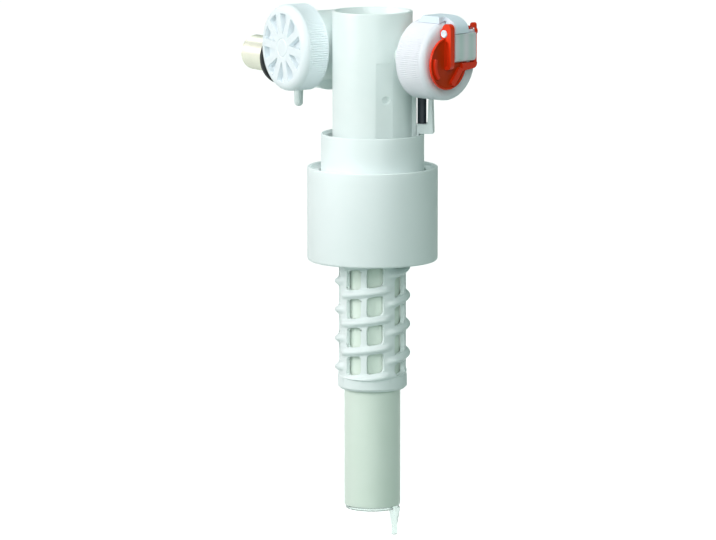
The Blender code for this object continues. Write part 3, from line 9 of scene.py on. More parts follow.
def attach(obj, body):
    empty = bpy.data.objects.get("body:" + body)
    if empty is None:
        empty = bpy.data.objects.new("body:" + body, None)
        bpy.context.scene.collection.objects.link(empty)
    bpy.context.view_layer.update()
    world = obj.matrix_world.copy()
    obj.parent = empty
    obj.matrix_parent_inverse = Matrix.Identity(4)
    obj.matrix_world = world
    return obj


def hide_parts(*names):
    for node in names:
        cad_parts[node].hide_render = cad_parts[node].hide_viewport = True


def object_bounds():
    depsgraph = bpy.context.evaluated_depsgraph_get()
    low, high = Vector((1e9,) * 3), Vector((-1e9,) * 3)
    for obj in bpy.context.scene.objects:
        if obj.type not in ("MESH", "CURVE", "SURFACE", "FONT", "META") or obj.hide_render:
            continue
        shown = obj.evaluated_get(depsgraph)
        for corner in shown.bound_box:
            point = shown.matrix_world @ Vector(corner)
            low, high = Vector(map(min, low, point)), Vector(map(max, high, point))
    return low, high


MM = 0.001
UP = Vector((0.0, 0.0, 1.0))
FULL_TURN = 2.0 * math.pi
# How squarely a lever face must look forward to take the painted shade
FACES_FORWARD = 0.9
WHITE = (1.0, 1.0, 1.0, 1.0)

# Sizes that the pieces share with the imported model. Heights are above the outlet tube's end.
GAP = 0.3 * MM
PAST = 2.0 * MM
FINE_EDGE = 0.25 * MM

# Where the column's axis stands, and the height of the outlet tube's end
COLUMN_X = 4.9 * MM
COLUMN_Y = -71.5 * MM
OUTLET_END = -203.0 * MM

# Column, outlet tube and its socket
COLUMN_RADIUS = 18.5 * MM
OUTLET_RADIUS = 13.0 * MM
OUTLET_WALL = 1.4 * MM
SOCKET_BOTTOM = 143.0 * MM
SOCKET_DEPTH = 13.3 * MM

# Body: column, strainer chamber, inlet neck, duct, barrel, guide rail and peg
COLUMN_WALL = 1.6 * MM
COLUMN_TOP = 230.7 * MM
COLUMN_SHOULDER = 160.5 * MM
COLUMN_TAPER = 5.5 * MM
STRIP_WIDTH = 8.0 * MM
STRIP_TOP = 208.0 * MM
STRIP_DEPTH = 0.5 * MM
STRIP_ANGLE = math.radians(255.0)
DIMPLE_RADIUS = 1.8 * MM
DIMPLE_HEIGHT = 191.0 * MM
DIMPLE_ASIDE = 0.8 * MM
DIMPLE_DEPTH = 0.9 * MM
SOCKET_WALL = 2.7 * MM
SOCKET_SEAL_HEIGHT = 3.3 * MM
SEAL_WIDTH = 1.8 * MM
CHAMBER_WALL = 4.8 * MM
CHAMBER_BACK = -2.0 * MM
CHAMBER_FLOOR = 0.6 * MM
PLENUM_RADIUS = 8.0 * MM
PLENUM_WALL = 3.0 * MM
PLENUM_BACK = -14.0 * MM
NECK_RADIUS = 11.5 * MM
NECK_REACH = 5.3 * MM
NECK_NOSE_RADIUS = 9.7 * MM
NECK_NOSE_START = 32.0 * MM
SHANK_SEAL_PLACE = 28.0 * MM
PEG_PLACE = 27.0 * MM
PEG_RADIUS = 2.4 * MM
PEG_TIP_RADIUS = 2.0 * MM
PEG_BOTTOM = 181.0 * MM
DUCT_RADIUS = 4.9 * MM
DUCT_BORE = 3.3 * MM
DUCT_ASIDE = 10.0 * MM
DUCT_END = 36.2 * MM
ELBOW_SWELL = 0.35 * MM
BARREL_NECK_RADIUS = 6.0 * MM
BARREL_NECK_WALL = 1.6 * MM
BARREL_NECK_ASIDE = 4.6 * MM
BARREL_SHOULDER = 31.9 * MM
BARREL_FLOOR = 34.2 * MM
BARREL_WALL = 3.6 * MM
RAIL_WIDTH = 2.4 * MM
RAIL_HEIGHT = 1.8 * MM
RAIL_TOP = 192.0 * MM

# Strainer cap, with its dished face, its spokes and the chamber that it screws on
STRAINER_HEIGHT = 212.3 * MM
STRAINER_OFFSET = 30.5 * MM
CHAMBER_RADIUS = 16.3 * MM
CHAMBER_END = 25.4 * MM
SEAL_THICKNESS = 1.0 * MM
STRAINER_CAP_RADIUS = 20.1 * MM
STRAINER_CAP_FACE = 30.3 * MM
STRAINER_CAP_DEPTH = 13.4 * MM
STRAINER_CAP_FILLET = 3.6 * MM
STRAINER_FACE_RADIUS = 4.6 * MM
STRAINER_DISH_RADIUS = 4.0 * MM
FACE_STEP = 0.3 * MM
SPOKES = 10
SPOKE_WIDTH = 3.6 * MM
SPOKE_HUB_RADIUS = 6.8 * MM
SPOKE_RIM_RADIUS = 16.0 * MM
SPOKE_TURN = math.radians(-5.0)
POCKET_DEPTH = 2.6 * MM
STRAINER_FLUTES = 110
FLUTE_DEPTH = 0.5 * MM
KNURL_START = 1.4 * MM
KNURL_FADE = 0.7 * MM

# Inlet shank with its thread, and the gasket round it
INLET_OFFSET = 4.9 * MM
INLET_HEIGHT = 203.0 * MM
WALL_PLANE = 41.0 * MM
GASKET_RADIUS = 13.0 * MM
GASKET_THICKNESS = 2.0 * MM
SHANK_RADIUS = 8.33 * MM
SHANK_BORE = 5.0 * MM
SHANK_START = 24.0 * MM
SHANK_LENGTH_OUTSIDE = 26.5 * MM
SHANK_CHAMFER = 1.1 * MM
SHANK_THREAD_START = 43.0 * MM
SHANK_PITCH = 1.337 * MM
SHANK_THREAD_DEPTH = 0.75 * MM

# Valve cap
HEAD_HEIGHT = 211.0 * MM
HEAD_ANGLE = math.radians(285.0)
BARREL_RADIUS = 15.9 * MM
BARREL_END = 40.2 * MM
DIAPHRAGM_THICKNESS = 0.7 * MM
VALVE_CAP_RADIUS = 18.3 * MM
VALVE_CAP_BACK = 31.3 * MM
VALVE_CAP_SKIRT = 31.0 * MM
VALVE_CAP_FACE = 48.0 * MM
VALVE_CAP_FILLET = 2.8 * MM
VALVE_CAP_FLUTES = 120
VALVE_CAP_CAVITY_RADIUS = 12.2 * MM
VALVE_CAP_FRONT_WALL = 3.0 * MM
PILOT_BORE = 0.9 * MM
PILOT_DISH = 3.0 * MM
PILOT_ACROSS = -4.4 * MM
PILOT_HEIGHT = -4.5 * MM

# Hood: a wide saddle on the valve cap and a narrower brow in front
HOOD_BACK = 33.6 * MM
HOOD_FRONT = 54.6 * MM
HOOD_LEFT = -3.2 * MM
HOOD_RIGHT = 5.2 * MM
HOOD_TOP = 20.5 * MM
HOOD_BROW = 44.0 * MM
HOOD_BROW_DROP = 6.0 * MM
HOOD_EDGE = 12.6 * MM
HOOD_PLATE = 1.6 * MM
HOOD_PLATE_BOTTOM = 12.9 * MM
HOOD_SLOPE = 3.6 * MM
HOOD_ROUNDING = 1.2 * MM
SADDLE_LEFT = -6.6 * MM
SADDLE_FRONT = 47.2 * MM

# Pivot block
BLOCK_LEFT_IN_CAD = -3.6 * MM
BLOCK_RIGHT_IN_CAD = 10.8 * MM
BLOCK_LEFT = -3.6 * MM
BLOCK_RIGHT = 10.3 * MM
BLOCK_BOTTOM = -0.3 * MM
BLOCK_TOP = 16.0 * MM
BLOCK_CORNER = 2.2 * MM
BLOCK_SADDLE = 14.0 * MM

# Lever, its fork and its pin
PIVOT_PLACE = 51.2 * MM
PIVOT_HEIGHT = 13.0 * MM
PIN_RADIUS = 1.75 * MM
PIN_STICKS_OUT = 0.5 * MM
PIN_DISH = 0.3 * MM
LEVER_BACK = 50.4 * MM
ARM_BACK = 50.0 * MM
LEVER_DISC_RADIUS = 12.1 * MM
LEVER_DISC_THICKNESS = 1.4 * MM
LEVER_DISC_ACROSS = -5.0 * MM
LEVER_DISC_HEIGHT = -0.6 * MM
LEVER_RIM = 0.8 * MM
LEVER_DISH = 0.3 * MM
ARM_DEPTH = 5.2 * MM
LEFT_ARM_WIDTH = 3.6 * MM
LEFT_ARM_RELIEF = 1.0 * MM
RIGHT_ARM_WIDTH = 1.8 * MM
RIGHT_ARM_DEPTH = 2.6 * MM
EYE_RADIUS = 2.6 * MM
RIGHT_EYE_RADIUS = 2.0 * MM
ARM_CLEARANCE = 0.4 * MM
ARM_TOP = 17.5 * MM
RIGHT_ARM_TOP = 16.9 * MM
LEFT_ARM_BOTTOM = -3.4 * MM
ARM_RIM = 1.3 * MM
PANEL_DROP = 8.0 * MM
PANEL_CORNER = 1.6 * MM
PANEL_DEPTH = 0.6 * MM
BRIDGE_BOTTOM = -3.6 * MM
BRIDGE_TOP = -1.0 * MM
BRIDGE_CORNER = 2.4 * MM
RIB_HEIGHT = 1.1 * MM
RIB_WIDTH = 1.5 * MM
RIB_INSET = 1.6 * MM
CURVED_RIB_START = math.radians(165.0)
CURVED_RIB_END = math.radians(220.0)
STRAIGHT_RIB_TOP = (2.6 * MM, -3.2 * MM)
STRAIGHT_RIB_FOOT = (-3.6 * MM, -10.4 * MM)
STRAIGHT_RIB_WIDTH = 2.8 * MM
REAR_ARM_WIDTH = 1.8 * MM
REAR_ARM_BOTTOM = 13.4 * MM
REAR_ARM_TOP = 15.0 * MM
REAR_ARM_INSET = 1.0 * MM
FORK_DROP = 4.2 * MM
FORK_THICKNESS = 1.6 * MM
FORK_WALL = 1.4 * MM
FORK_SLOT_PLAY = 0.5 * MM
PAD_RADIUS = 2.4 * MM
PAD_THICKNESS = 1.0 * MM
PAD_PROUD = 0.6 * MM

# Push rod and clip
ROD_ANGLE = math.radians(321.7)
ROD_PLACE = 22.9 * MM
ROD_NECK_RADIUS = 1.2 * MM
CLIP_OUTER = 28.4 * MM

# Carrier
COLLAR_RADIUS = 23.85 * MM
COLLAR_WALL = 1.5 * MM
COLLAR_BOTTOM = 131.0 * MM
COLLAR_TOP = 174.0 * MM
COLLAR_WEB = 2.5 * MM
COLLAR_LIP = 0.7 * MM
GUIDE_RIB_WIDTH = 1.2 * MM
GUIDE_RIB_BOTTOM = 162.0 * MM
GUIDE_RIB_TOP = 172.0 * MM
GUIDE_RIB_SPREAD = math.radians(7.5)

# Lattice sleeve with its two-start thread
SLEEVE_RADIUS = 15.75 * MM
SLEEVE_WALL = 2.0 * MM
SLEEVE_BOTTOM = 55.0 * MM
SLEEVE_FLANGE = 2.2 * MM
SLEEVE_FLANGE_RADIUS = 19.5 * MM
SLEEVE_BAND_TOP = 61.5 * MM
SLEEVE_BAND_PROUD = 0.3 * MM
SLEEVE_CHAMFER = 1.2 * MM
SLEEVE_COLUMNS = 144
SLEEVE_ROWS = 150
THREAD_LEAD = 13.4 * MM
THREAD_STARTS = 2
THREAD_HEIGHT = 1.8 * MM
THREAD_BASE = 4.2 * MM
THREAD_TOP = 130.0 * MM
THREAD_PHASE_HEIGHT = 101.7 * MM
THREAD_PHASE_ANGLE = math.radians(238.0)
RIB_ROUNDING = 1.3
WINDOW_GROUPS = 4
WINDOW_ANGLE = math.radians(29.5)
WINDOW_BAR = math.radians(10.0)
WINDOW_GROUP_START = math.radians(188.5)
WINDOW_BOTTOM = 62.8 * MM
WINDOW_TOP = 128.0 * MM
WINDOW_CORNER = 1.6 * MM

# Float
FLOAT_RADIUS = 30.2 * MM
FLOAT_WALL = 1.6 * MM
FLOAT_BOTTOM = 115.0 * MM
FLOAT_HEIGHT = 43.6 * MM
FLOAT_LEDGE_DROP = 1.6 * MM
FLOAT_EDGE = 1.2 * MM
FLOAT_COLLAR_PLAY = 0.9 * MM
HUB_PLAY = 0.35 * MM
HUB_HEIGHT = 12.0 * MM

# Camera: where it looks from, its distance and what lies at the middle of the picture
VIEW_HEADING = math.radians(32.0)
VIEW_ELEVATION = math.radians(8.6)
VIEW_DISTANCE = 2.38
VIEW_LENS = 258.4
VIEW_LEFT_OF_COLUMN = 6.7 * MM
VIEW_HEIGHT = 110.0 * MM

# Floor and light
FLOOR_DROP = 60.0 * MM
FLOOR_SIZE = 12.0
WORLD_LIGHT = 0.46
WORLD_RIGHT = (0.05, 0.19, 0.13, 1.0)
WORLD_MIDDLE = (0.72, 0.95, 0.88, 1.0)
WORLD_MIDDLE_SHARE = 0.45
WORLD_DIM_BELOW = -0.9
WORLD_WHITE_ABOVE = 0.7
FLOOR_COLOUR = (0.3, 0.38, 0.35, 1.0)
FLOOR_GLOW = 0.93
# Heading and elevation in degrees, distance and size in metres, power in watts, colour
LAMPS = {
    "key": (66.0, 22.0, 1.3, 0.6, 8.2, (1.0, 0.99, 0.99)),
    "front": (-6.0, 26.0, 1.6, 0.9, 8.4, (0.95, 0.99, 0.99)),
    "top": (20.0, 78.0, 1.3, 0.6, 4.0, (0.93, 0.98, 1.0)),
}
# Scale of the painted shade stripes on the clear moulding
CLEAR_SHADE_BANDS = 45.0

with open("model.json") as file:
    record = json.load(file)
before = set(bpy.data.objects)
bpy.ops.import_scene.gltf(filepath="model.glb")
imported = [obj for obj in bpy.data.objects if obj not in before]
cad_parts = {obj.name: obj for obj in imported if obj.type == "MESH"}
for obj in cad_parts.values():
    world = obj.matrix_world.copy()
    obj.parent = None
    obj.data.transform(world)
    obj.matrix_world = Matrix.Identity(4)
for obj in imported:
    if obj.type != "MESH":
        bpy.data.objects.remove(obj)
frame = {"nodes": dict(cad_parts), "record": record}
cad_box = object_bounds()


def frame_along(origin, direction):
    """Matrix of a frame whose Z runs along direction and whose Y is up."""
    along = Vector(direction).normalized()
    across = UP.cross(along)
    turn = Matrix((across, UP, along)).transposed()
    return Matrix.Translation(origin) @ turn.to_4x4()


COLUMN = Matrix.Translation((COLUMN_X, COLUMN_Y, OUTLET_END))
STRAINER = COLUMN @ frame_along((0.0, STRAINER_OFFSET, STRAINER_HEIGHT), (-1.0, 0.0, 0.0))
INLET = COLUMN @ frame_along((-INLET_OFFSET, STRAINER_OFFSET, INLET_HEIGHT), (0.0, 1.0, 0.0))
HEAD = COLUMN @ frame_along((0.0, 0.0, HEAD_HEIGHT), (math.cos(HEAD_ANGLE), math.sin(HEAD_ANGLE), 0.0))
PIVOT = HEAD @ Matrix.Translation((0.0, PIVOT_HEIGHT, PIVOT_PLACE))
PIN_AXIS = PIVOT @ Matrix.Rotation(math.pi / 2, 4, "Y")


# Materials


class Nodes:
    """Short calls to add and join the nodes of one material."""

    def __init__(self, name):
        self.material = bpy.data.materials.new(name)
        self.material.use_nodes = True
        self.tree = self.material.node_tree
        self.shader = self.tree.nodes["Principled BSDF"]

    def add(self, kind, **inputs):
        node = self.tree.nodes.new(kind)
        for name, value in inputs.items():
            node.inputs[name.replace("_", " ")].default_value = value
        return node

    def join(self, source, target):
        self.tree.links.new(source, target)

    def set(self, **values):
        for name, value in values.items():
            self.shader.inputs[name.replace("_", " ")].default_value = value


def moulded(name, light, dark, roughness, grain=0.03, scatter=0.0, scatter_radius=None,
            cloud_scale=45.0, shine=0.5):
    """Moulded plastic: cloudy colour, uneven gloss and a fine surface grain."""
    nodes = Nodes(name)
    place = nodes.add("ShaderNodeTexCoord").outputs["Object"]
    cloud = nodes.add("ShaderNodeTexNoise", Scale=cloud_scale, Detail=3.0, Roughness=0.55)
    nodes.join(place, cloud.inputs["Vector"])
    ramp = nodes.add("ShaderNodeValToRGB")
    ramp.color_ramp.elements[0].position = 0.35
    ramp.color_ramp.elements[0].color = (*dark, 1.0)
    ramp.color_ramp.elements[1].position = 0.65
    ramp.color_ramp.elements[1].color = (*light, 1.0)
    nodes.join(cloud.outputs["Fac"], ramp.inputs["Fac"])
    nodes.join(ramp.outputs["Color"], nodes.shader.inputs["Base Color"])
    gloss = nodes.add("ShaderNodeTexNoise", Scale=260.0, Detail=2.0)
    nodes.join(place, gloss.inputs["Vector"])
    spread = nodes.add("ShaderNodeMapRange")
    spread.inputs["To Min"].default_value = roughness * 0.8
    spread.inputs["To Max"].default_value = roughness * 1.2
    nodes.join(gloss.outputs["Fac"], spread.inputs["Value"])
    nodes.join(spread.outputs["Result"], nodes.shader.inputs["Roughness"])
    fine = nodes.add("ShaderNodeTexNoise", Scale=2200.0, Detail=2.0)
    nodes.join(place, fine.inputs["Vector"])
    bump = nodes.add("ShaderNodeBump", Strength=grain, Distance=0.0002)
    nodes.join(fine.outputs["Fac"], bump.inputs["Height"])
    nodes.join(bump.outputs["Normal"], nodes.shader.inputs["Normal"])
    nodes.set(Specular_IOR_Level=shine)
    if scatter:
        nodes.set(Subsurface_Weight=scatter, Subsurface_Scale=0.004)
        nodes.set(Subsurface_Radius=scatter_radius or (1.0, 1.0, 1.0))
    return nodes


# Light and dark shade of each moulded plastic, its roughness and how far light scatters in it
PLASTICS = {
    "body_white": ((0.87, 0.94, 0.93), (0.84, 0.92, 0.91), 0.32, 0.25),
    "tube_white": ((0.80, 0.89, 0.80), (0.77, 0.87, 0.77), 0.34, 0.15),
    "float_white": ((0.87, 0.93, 0.93), (0.85, 0.915, 0.915), 0.5, 0.15),
    "strainer_white": ((0.90, 0.95, 0.985), (0.88, 0.94, 0.975), 0.42, 0.1),
    "cap_white": ((0.82, 0.83, 0.88), (0.80, 0.81, 0.86), 0.45, 0.05),
    "hood_white": ((0.80, 0.89, 0.97), (0.78, 0.87, 0.955), 0.35, 0.0),
    "inner_white": ((0.85, 0.87, 0.85), (0.82, 0.84, 0.82), 0.5, 0.0),
    "rod_black": ((0.02, 0.03, 0.045), (0.012, 0.018, 0.028), 0.35, 0.0),
}


def clear_plastic():
    """Frosted moulding with faint upright stripes of painted shade, standing for its hollow back seen
    through the wall.
    """
    nodes = Nodes("clear_plastic")
    place = nodes.add("ShaderNodeTexCoord").outputs["Object"]
    turned_place = nodes.add("ShaderNodeMapping")
    turned_place.inputs["Rotation"].default_value = (0.0, 0.0, -HEAD_ANGLE)
    nodes.join(place, turned_place.inputs["Vector"])
    # Painted shade: the darker stripes stand for the hollow back seen through the frosted wall
    shade_bands = nodes.add("ShaderNodeTexWave", Scale=CLEAR_SHADE_BANDS, Distortion=1.2, Detail=1.0)
    shade_bands.wave_type = "BANDS"
    shade_bands.bands_direction = "Y"
    nodes.join(turned_place.outputs["Vector"], shade_bands.inputs["Vector"])
    ramp = nodes.add("ShaderNodeValToRGB")
    ramp.color_ramp.elements[0].color = (0.74, 0.88, 0.85, 1.0)
    ramp.color_ramp.elements[1].color = (0.97, 0.95, 0.99, 1.0)
    nodes.join(shade_bands.outputs["Fac"], ramp.inputs["Fac"])
    nodes.join(ramp.outputs["Color"], nodes.shader.inputs["Base Color"])
    nodes.set(Roughness=0.22, Transmission_Weight=0.3, IOR=1.45, Specular_IOR_Level=0.5)
    return nodes.material


def nozzle_clear():
    nodes = Nodes("nozzle_clear")
    nodes.set(Base_Color=(0.86, 0.95, 0.92, 1.0), Roughness=0.08, Transmission_Weight=0.8, IOR=1.45)
    return nodes.material


def lever_red():
    return moulded("lever_red", (0.88, 0.045, 0.006), (0.8, 0.03, 0.005), 0.34, shine=0.25).material


# A darker red for the disc's recessed front face: painted shade in the recess
def lever_painted_shade():
    return moulded("lever_painted_shade", (0.56, 0.042, 0.004), (0.44, 0.032, 0.003), 0.35, shine=0.15).material


def rubber_black():
    return moulded("rubber_black", (0.02, 0.022, 0.024), (0.012, 0.013, 0.014), 0.6,
                   grain=0.2).material


def shank_nickel():
    nodes = moulded("shank_nickel", (0.86, 0.84, 0.72), (0.78, 0.76, 0.65), 0.36)
    nodes.set(Metallic=0.5)
    return nodes.material


LEVER_PAINTED_SHADE = lever_painted_shade()
NOZZLE_CLEAR = nozzle_clear()
FINISHES = {name: moulded(name, light, dark, roughness, scatter=scatter).material
            for name, (light, dark, roughness, scatter) in PLASTICS.items()}
FINISHES["clear_plastic"] = clear_plastic()
FINISHES["lever_red"] = lever_red()
FINISHES["rubber_black"] = rubber_black()
FINISHES["shank_nickel"] = shank_nickel()
SLOT_OF = {part["node"]: part["material_slot"] for part in frame["record"]["subparts"]}
BODY_OF = {}
for body_name, members in frame["record"]["behaviour"]["bodies"].items():
    for member in members:
        BODY_OF[member] = body_name


def finish_piece(piece, slot_name, body_name, *nodes):
    """Give a piece its material, its body and the CAD nodes that it stands for."""
    piece.data.materials.clear()
    piece.data.materials.append(FINISHES[slot_name])
    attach(piece, body_name)
    if nodes:
        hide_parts(*nodes)
    return piece


def refined(node, bevel_width=0.25 * MM, sharp=35.0):
    """A copy of a CAD node with merged facets, smooth shading and rounded edges."""
    mesh = bmesh.new()
    mesh.from_mesh(frame["nodes"][node].data)
    bmesh.ops.remove_doubles(mesh, verts=mesh.verts, dist=0.002 * MM)
    bmesh.ops.dissolve_limit(mesh, angle_limit=math.radians(0.5), verts=mesh.verts,
                             edges=mesh.edges)
    data = bpy.data.meshes.new(node + "_skin")
    mesh.to_mesh(data)
    mesh.free()
    data.shade_smooth()
    data.set_sharp_from_angle(angle=math.radians(sharp))
    piece = bpy.data.objects.new(node + "_skin", data)
    bpy.context.scene.collection.objects.link(piece)
    if bevel_width:
        soften(piece, bevel_width, sharp)
    return finish_piece(piece, SLOT_OF[node], BODY_OF[node], node)


def soften(piece, width, sharp=35.0, segments=2):
    bevel = piece.modifiers.new("soft_edges", "BEVEL")
    bevel.width = width
    bevel.segments = segments
    bevel.limit_method = "ANGLE"
    bevel.angle_limit = math.radians(sharp)
    bevel.harden_normals = True
    return piece


# Shapes


def link_mesh(name, mesh, matrix, sharp=35.0):
    """Turn a bmesh, built in the frame of matrix, into a smooth piece with sharp edges kept."""
    bmesh.ops.remove_doubles(mesh, verts=mesh.verts, dist=0.001 * MM)
    bmesh.ops.recalc_face_normals(mesh, faces=mesh.faces)
    data = bpy.data.meshes.new(name)
    mesh.to_mesh(data)
    mesh.free()
    data.transform(matrix)
    data.shade_smooth()
    data.set_sharp_from_angle(angle=math.radians(sharp))
    piece = bpy.data.objects.new(name, data)
    bpy.context.scene.collection.objects.link(piece)
    return piece


def arc(centre, radius, start, end, steps):
    points = []
    for step in range(steps + 1):
        angle = start + (end - start) * step / steps
        points.append((centre[0] + radius * math.cos(angle), centre[1] + radius * math.sin(angle)))
    return points


def rounded(corners, steps=4):
    """Closed outline from (x, y, fillet) corners, each fillet drawn as an arc."""
    outline = []
    count = len(corners)
    for number, (x, y, *fillets) in enumerate(corners):
        here = Vector((x, y))
        fillet = fillets[0] if fillets else 0.0
        if not fillet:
            outline.append((x, y))
            continue
        before = (Vector(corners[number - 1][:2]) - here).normalized()
        after = (Vector(corners[(number + 1) % count][:2]) - here).normalized()
        half = before.angle(after) / 2
        centre = here + (before + after).normalized() * fillet / math.sin(half)
        start = here + before * fillet / math.tan(half) - centre
        sweep = math.pi - 2 * half
        if before.x * after.y - before.y * after.x > 0.0:
            sweep = -sweep
        for step in range(steps + 1):
            turn = sweep * step / steps
            point = Matrix.Rotation(turn, 2) @ start + centre
            outline.append((point.x, point.y))
    return outline


def turned_mesh(profile, segments):
    mesh = bmesh.new()
    ring = [mesh.verts.new((radius, 0.0, height)) for radius, height in profile]
    edges = []
    for start, end in zip(ring, ring[1:] + ring[:1]):
        if start.co.x > 0.0 or end.co.x > 0.0:
            edges.append(mesh.edges.new((start, end)))
    bmesh.ops.spin(mesh, geom=ring + edges, cent=(0.0, 0.0, 0.0), axis=(0.0, 0.0, 1.0),
                   angle=FULL_TURN, steps=segments, use_merge=True)
    bmesh.ops.remove_doubles(mesh, verts=mesh.verts, dist=0.001 * MM)
    return mesh


def turned(name, corners, matrix, segments=128, steps=4, sharp=35.0):
    """Spin a profile of (radius, height, fillet) corners about Z."""
    return link_mesh(name, turned_mesh(rounded(corners, steps), segments), matrix, sharp)


def knurled(name, corners, matrix, flutes, depth, band, steps=6):
    """A turned piece whose widest points between the heights of band carry fine flutes."""
    mesh = turned_mesh(rounded(corners, steps), 4 * flutes)
    widest = max(corner[0] for corner in corners)
    for vert in mesh.verts:
        radius = math.hypot(vert.co.x, vert.co.y)
        if radius < widest - 2 * depth or not band[0] <= vert.co.z <= band[1]:
            continue
        fade = min(1.0, (vert.co.z - band[0]) / KNURL_FADE, (band[1] - vert.co.z) / KNURL_FADE)
        turn = math.atan2(vert.co.y, vert.co.x) * flutes
        shrink = 1.0 - depth * fade * (0.5 - 0.5 * math.cos(turn)) / radius
        vert.co.x *= shrink
        vert.co.y *= shrink
    return link_mesh(name, mesh, matrix, 60.0)


def prism(name, outline, low, high, matrix, along="Z"):
    """Extrude an outline. Along X it holds (y, z) points, along Y (z, x) and along Z (x, y)."""
    mesh = bmesh.new()
    loops = []
    for level in (low, high):
        loop = []
        for first, second in outline:
            place = {"X": (level, first, second), "Y": (second, level, first),
                     "Z": (first, second, level)}
            loop.append(mesh.verts.new(place[along]))
        loops.append(loop)
    mesh.faces.new(loops[0])
    mesh.faces.new(loops[1])
    for number, vert in enumerate(loops[0]):
        following = (number + 1) % len(outline)
        mesh.faces.new((vert, loops[0][following], loops[1][following], loops[1][number]))
    return link_mesh(name, mesh, matrix)


def block(name, low, high, matrix):
    outline = [(low[0], low[1]), (high[0], low[1]), (high[0], high[1]), (low[0], high[1])]
    return prism(name, outline, low[2], high[2], matrix)


def rod(name, radius, low, high, matrix, segments=48):
    return turned(name, [(0.0, low, 0.0), (radius, low, 0.0), (radius, high, 0.0), (0.0, high, 0.0)],
                  matrix, segments)


def merge_shapes(target, shapes, operation):
    """Apply one Boolean with all of the shapes, then delete them."""
    group = bpy.data.collections.new(target.name + "_shapes")
    bpy.context.scene.collection.children.link(group)
    for shape in shapes:
        bpy.context.scene.collection.objects.unlink(shape)
        group.objects.link(shape)
    modifier = target.modifiers.new("shapes", "BOOLEAN")
    modifier.operation = operation
    modifier.solver = "EXACT"
    modifier.operand_type = "COLLECTION"
    modifier.collection = group
    apply_modifiers(target)
    for shape in shapes:
        bpy.data.objects.remove(shape, do_unlink=True)
    bpy.data.collections.remove(group)
    return target


def apply_modifiers(piece):
    """Replace the piece's mesh by what its modifiers make of it."""
    bpy.context.view_layer.update()
    evaluated = piece.evaluated_get(bpy.context.evaluated_depsgraph_get())
    data = bpy.data.meshes.new_from_object(evaluated)
    piece.modifiers.clear()
    old = piece.data
    piece.data = data
    data.name = piece.name
    bpy.data.meshes.remove(old)


def tidy_edges(piece, sharp=35.0):
    data = piece.data
    data.shade_smooth()
    data.set_sharp_from_angle(angle=math.radians(sharp))
    return piece


def on_circle(radius, angle, height=0.0):
    return Vector((radius * math.cos(angle), radius * math.sin(angle), height))


# Float, collar and sleeve


def make_float():
    outer = FLOAT_RADIUS
    inner = outer - FLOAT_WALL
    top = FLOAT_BOTTOM + FLOAT_HEIGHT
    ledge = top - FLOAT_LEDGE_DROP
    well = COLLAR_RADIUS + FLOAT_COLLAR_PLAY
    hub = SLEEVE_RADIUS + THREAD_HEIGHT + HUB_PLAY
    floor = FLOAT_BOTTOM + FLOAT_WALL
    hub_top = FLOAT_BOTTOM + HUB_HEIGHT
    thin = FINE_EDGE
    cup = turned("float_cup_skin", [
        (outer, FLOAT_BOTTOM, FLOAT_EDGE),
        (outer, top, thin * 2),
        (inner, top, thin * 2),
        (inner, ledge, thin),
        (well, ledge, thin),
        (well, floor, 1.0 * MM),
        (hub + FLOAT_WALL, floor, thin),
        (hub + FLOAT_WALL, hub_top, thin),
        (hub, hub_top, thin),
        (hub, FLOAT_BOTTOM, thin),
        (well + FLOAT_WALL, FLOAT_BOTTOM, FLOAT_EDGE / 2),
        (well + FLOAT_WALL, ledge - FLOAT_WALL, thin),
        (inner, ledge - FLOAT_WALL, thin),
        (inner, FLOAT_BOTTOM, thin),
    ], COLUMN, segments=160)
    return finish_piece(cup, "float_white", "float", "float_cup")


def make_collar():
    inner = COLLAR_RADIUS - COLLAR_WALL
    hole = SLEEVE_RADIUS + THREAD_HEIGHT + HUB_PLAY
    thin = FINE_EDGE
    collar = turned("carrier_skin", [
        (hole, COLLAR_BOTTOM, thin),
        (COLLAR_RADIUS, COLLAR_BOTTOM, 2 * thin),
        (COLLAR_RADIUS, COLLAR_TOP, 2 * thin),
        (inner + COLLAR_LIP, COLLAR_TOP, 2 * thin),
        (inner + COLLAR_LIP, COLLAR_TOP - COLLAR_LIP, 0.0),
        (inner, COLLAR_TOP - 2 * COLLAR_LIP, 0.0),
        (inner, COLLAR_BOTTOM + COLLAR_WEB, 1.0 * MM),
        (hole, COLLAR_BOTTOM + COLLAR_WEB, thin),
    ], COLUMN, segments=160)
    ribs = []
    angles = [ROD_ANGLE - 2 * GUIDE_RIB_SPREAD, ROD_ANGLE + 2 * GUIDE_RIB_SPREAD]
    angles += [ROD_ANGLE + quarter * math.pi / 2 for quarter in (1, 2, 3)]
    for number, angle in enumerate(angles):
        turn = COLUMN @ Matrix.Rotation(angle, 4, "Z")
        ribs.append(block(f"rib_{number}", (COLUMN_RADIUS + GAP, -GUIDE_RIB_WIDTH / 2, GUIDE_RIB_BOTTOM),
                          (inner + COLLAR_LIP / 2, GUIDE_RIB_WIDTH / 2, GUIDE_RIB_TOP), turn))
    merge_shapes(collar, ribs, "UNION")
    tidy_edges(collar)
    return finish_piece(collar, "float_white", "carrier", "carrier")


def strip_share(angle):
    """Which window group an angle round the sleeve lies in, and how far into the strip beside it."""
    group_angle = FULL_TURN / WINDOW_GROUPS
    open_angle = 2 * WINDOW_ANGLE + WINDOW_BAR
    turn = (angle - WINDOW_GROUP_START) % FULL_TURN
    group = int(turn // group_angle)
    inside = turn - group * group_angle
    return group, max(0.0, inside - open_angle) / (group_angle - open_angle)


def rib_strength(angle, thread):
    """1 where a thread start is kept, 0 where it is left out, and a smooth change on the strips."""
    group, share = strip_share(angle)
    here = 1.0 if thread % THREAD_STARTS == group % THREAD_STARTS else 0.0
    following = 1.0 if thread % THREAD_STARTS == (group + 1) % THREAD_STARTS else 0.0
    smooth = share * share * (3.0 - 2.0 * share)
    return here + (following - here) * smooth


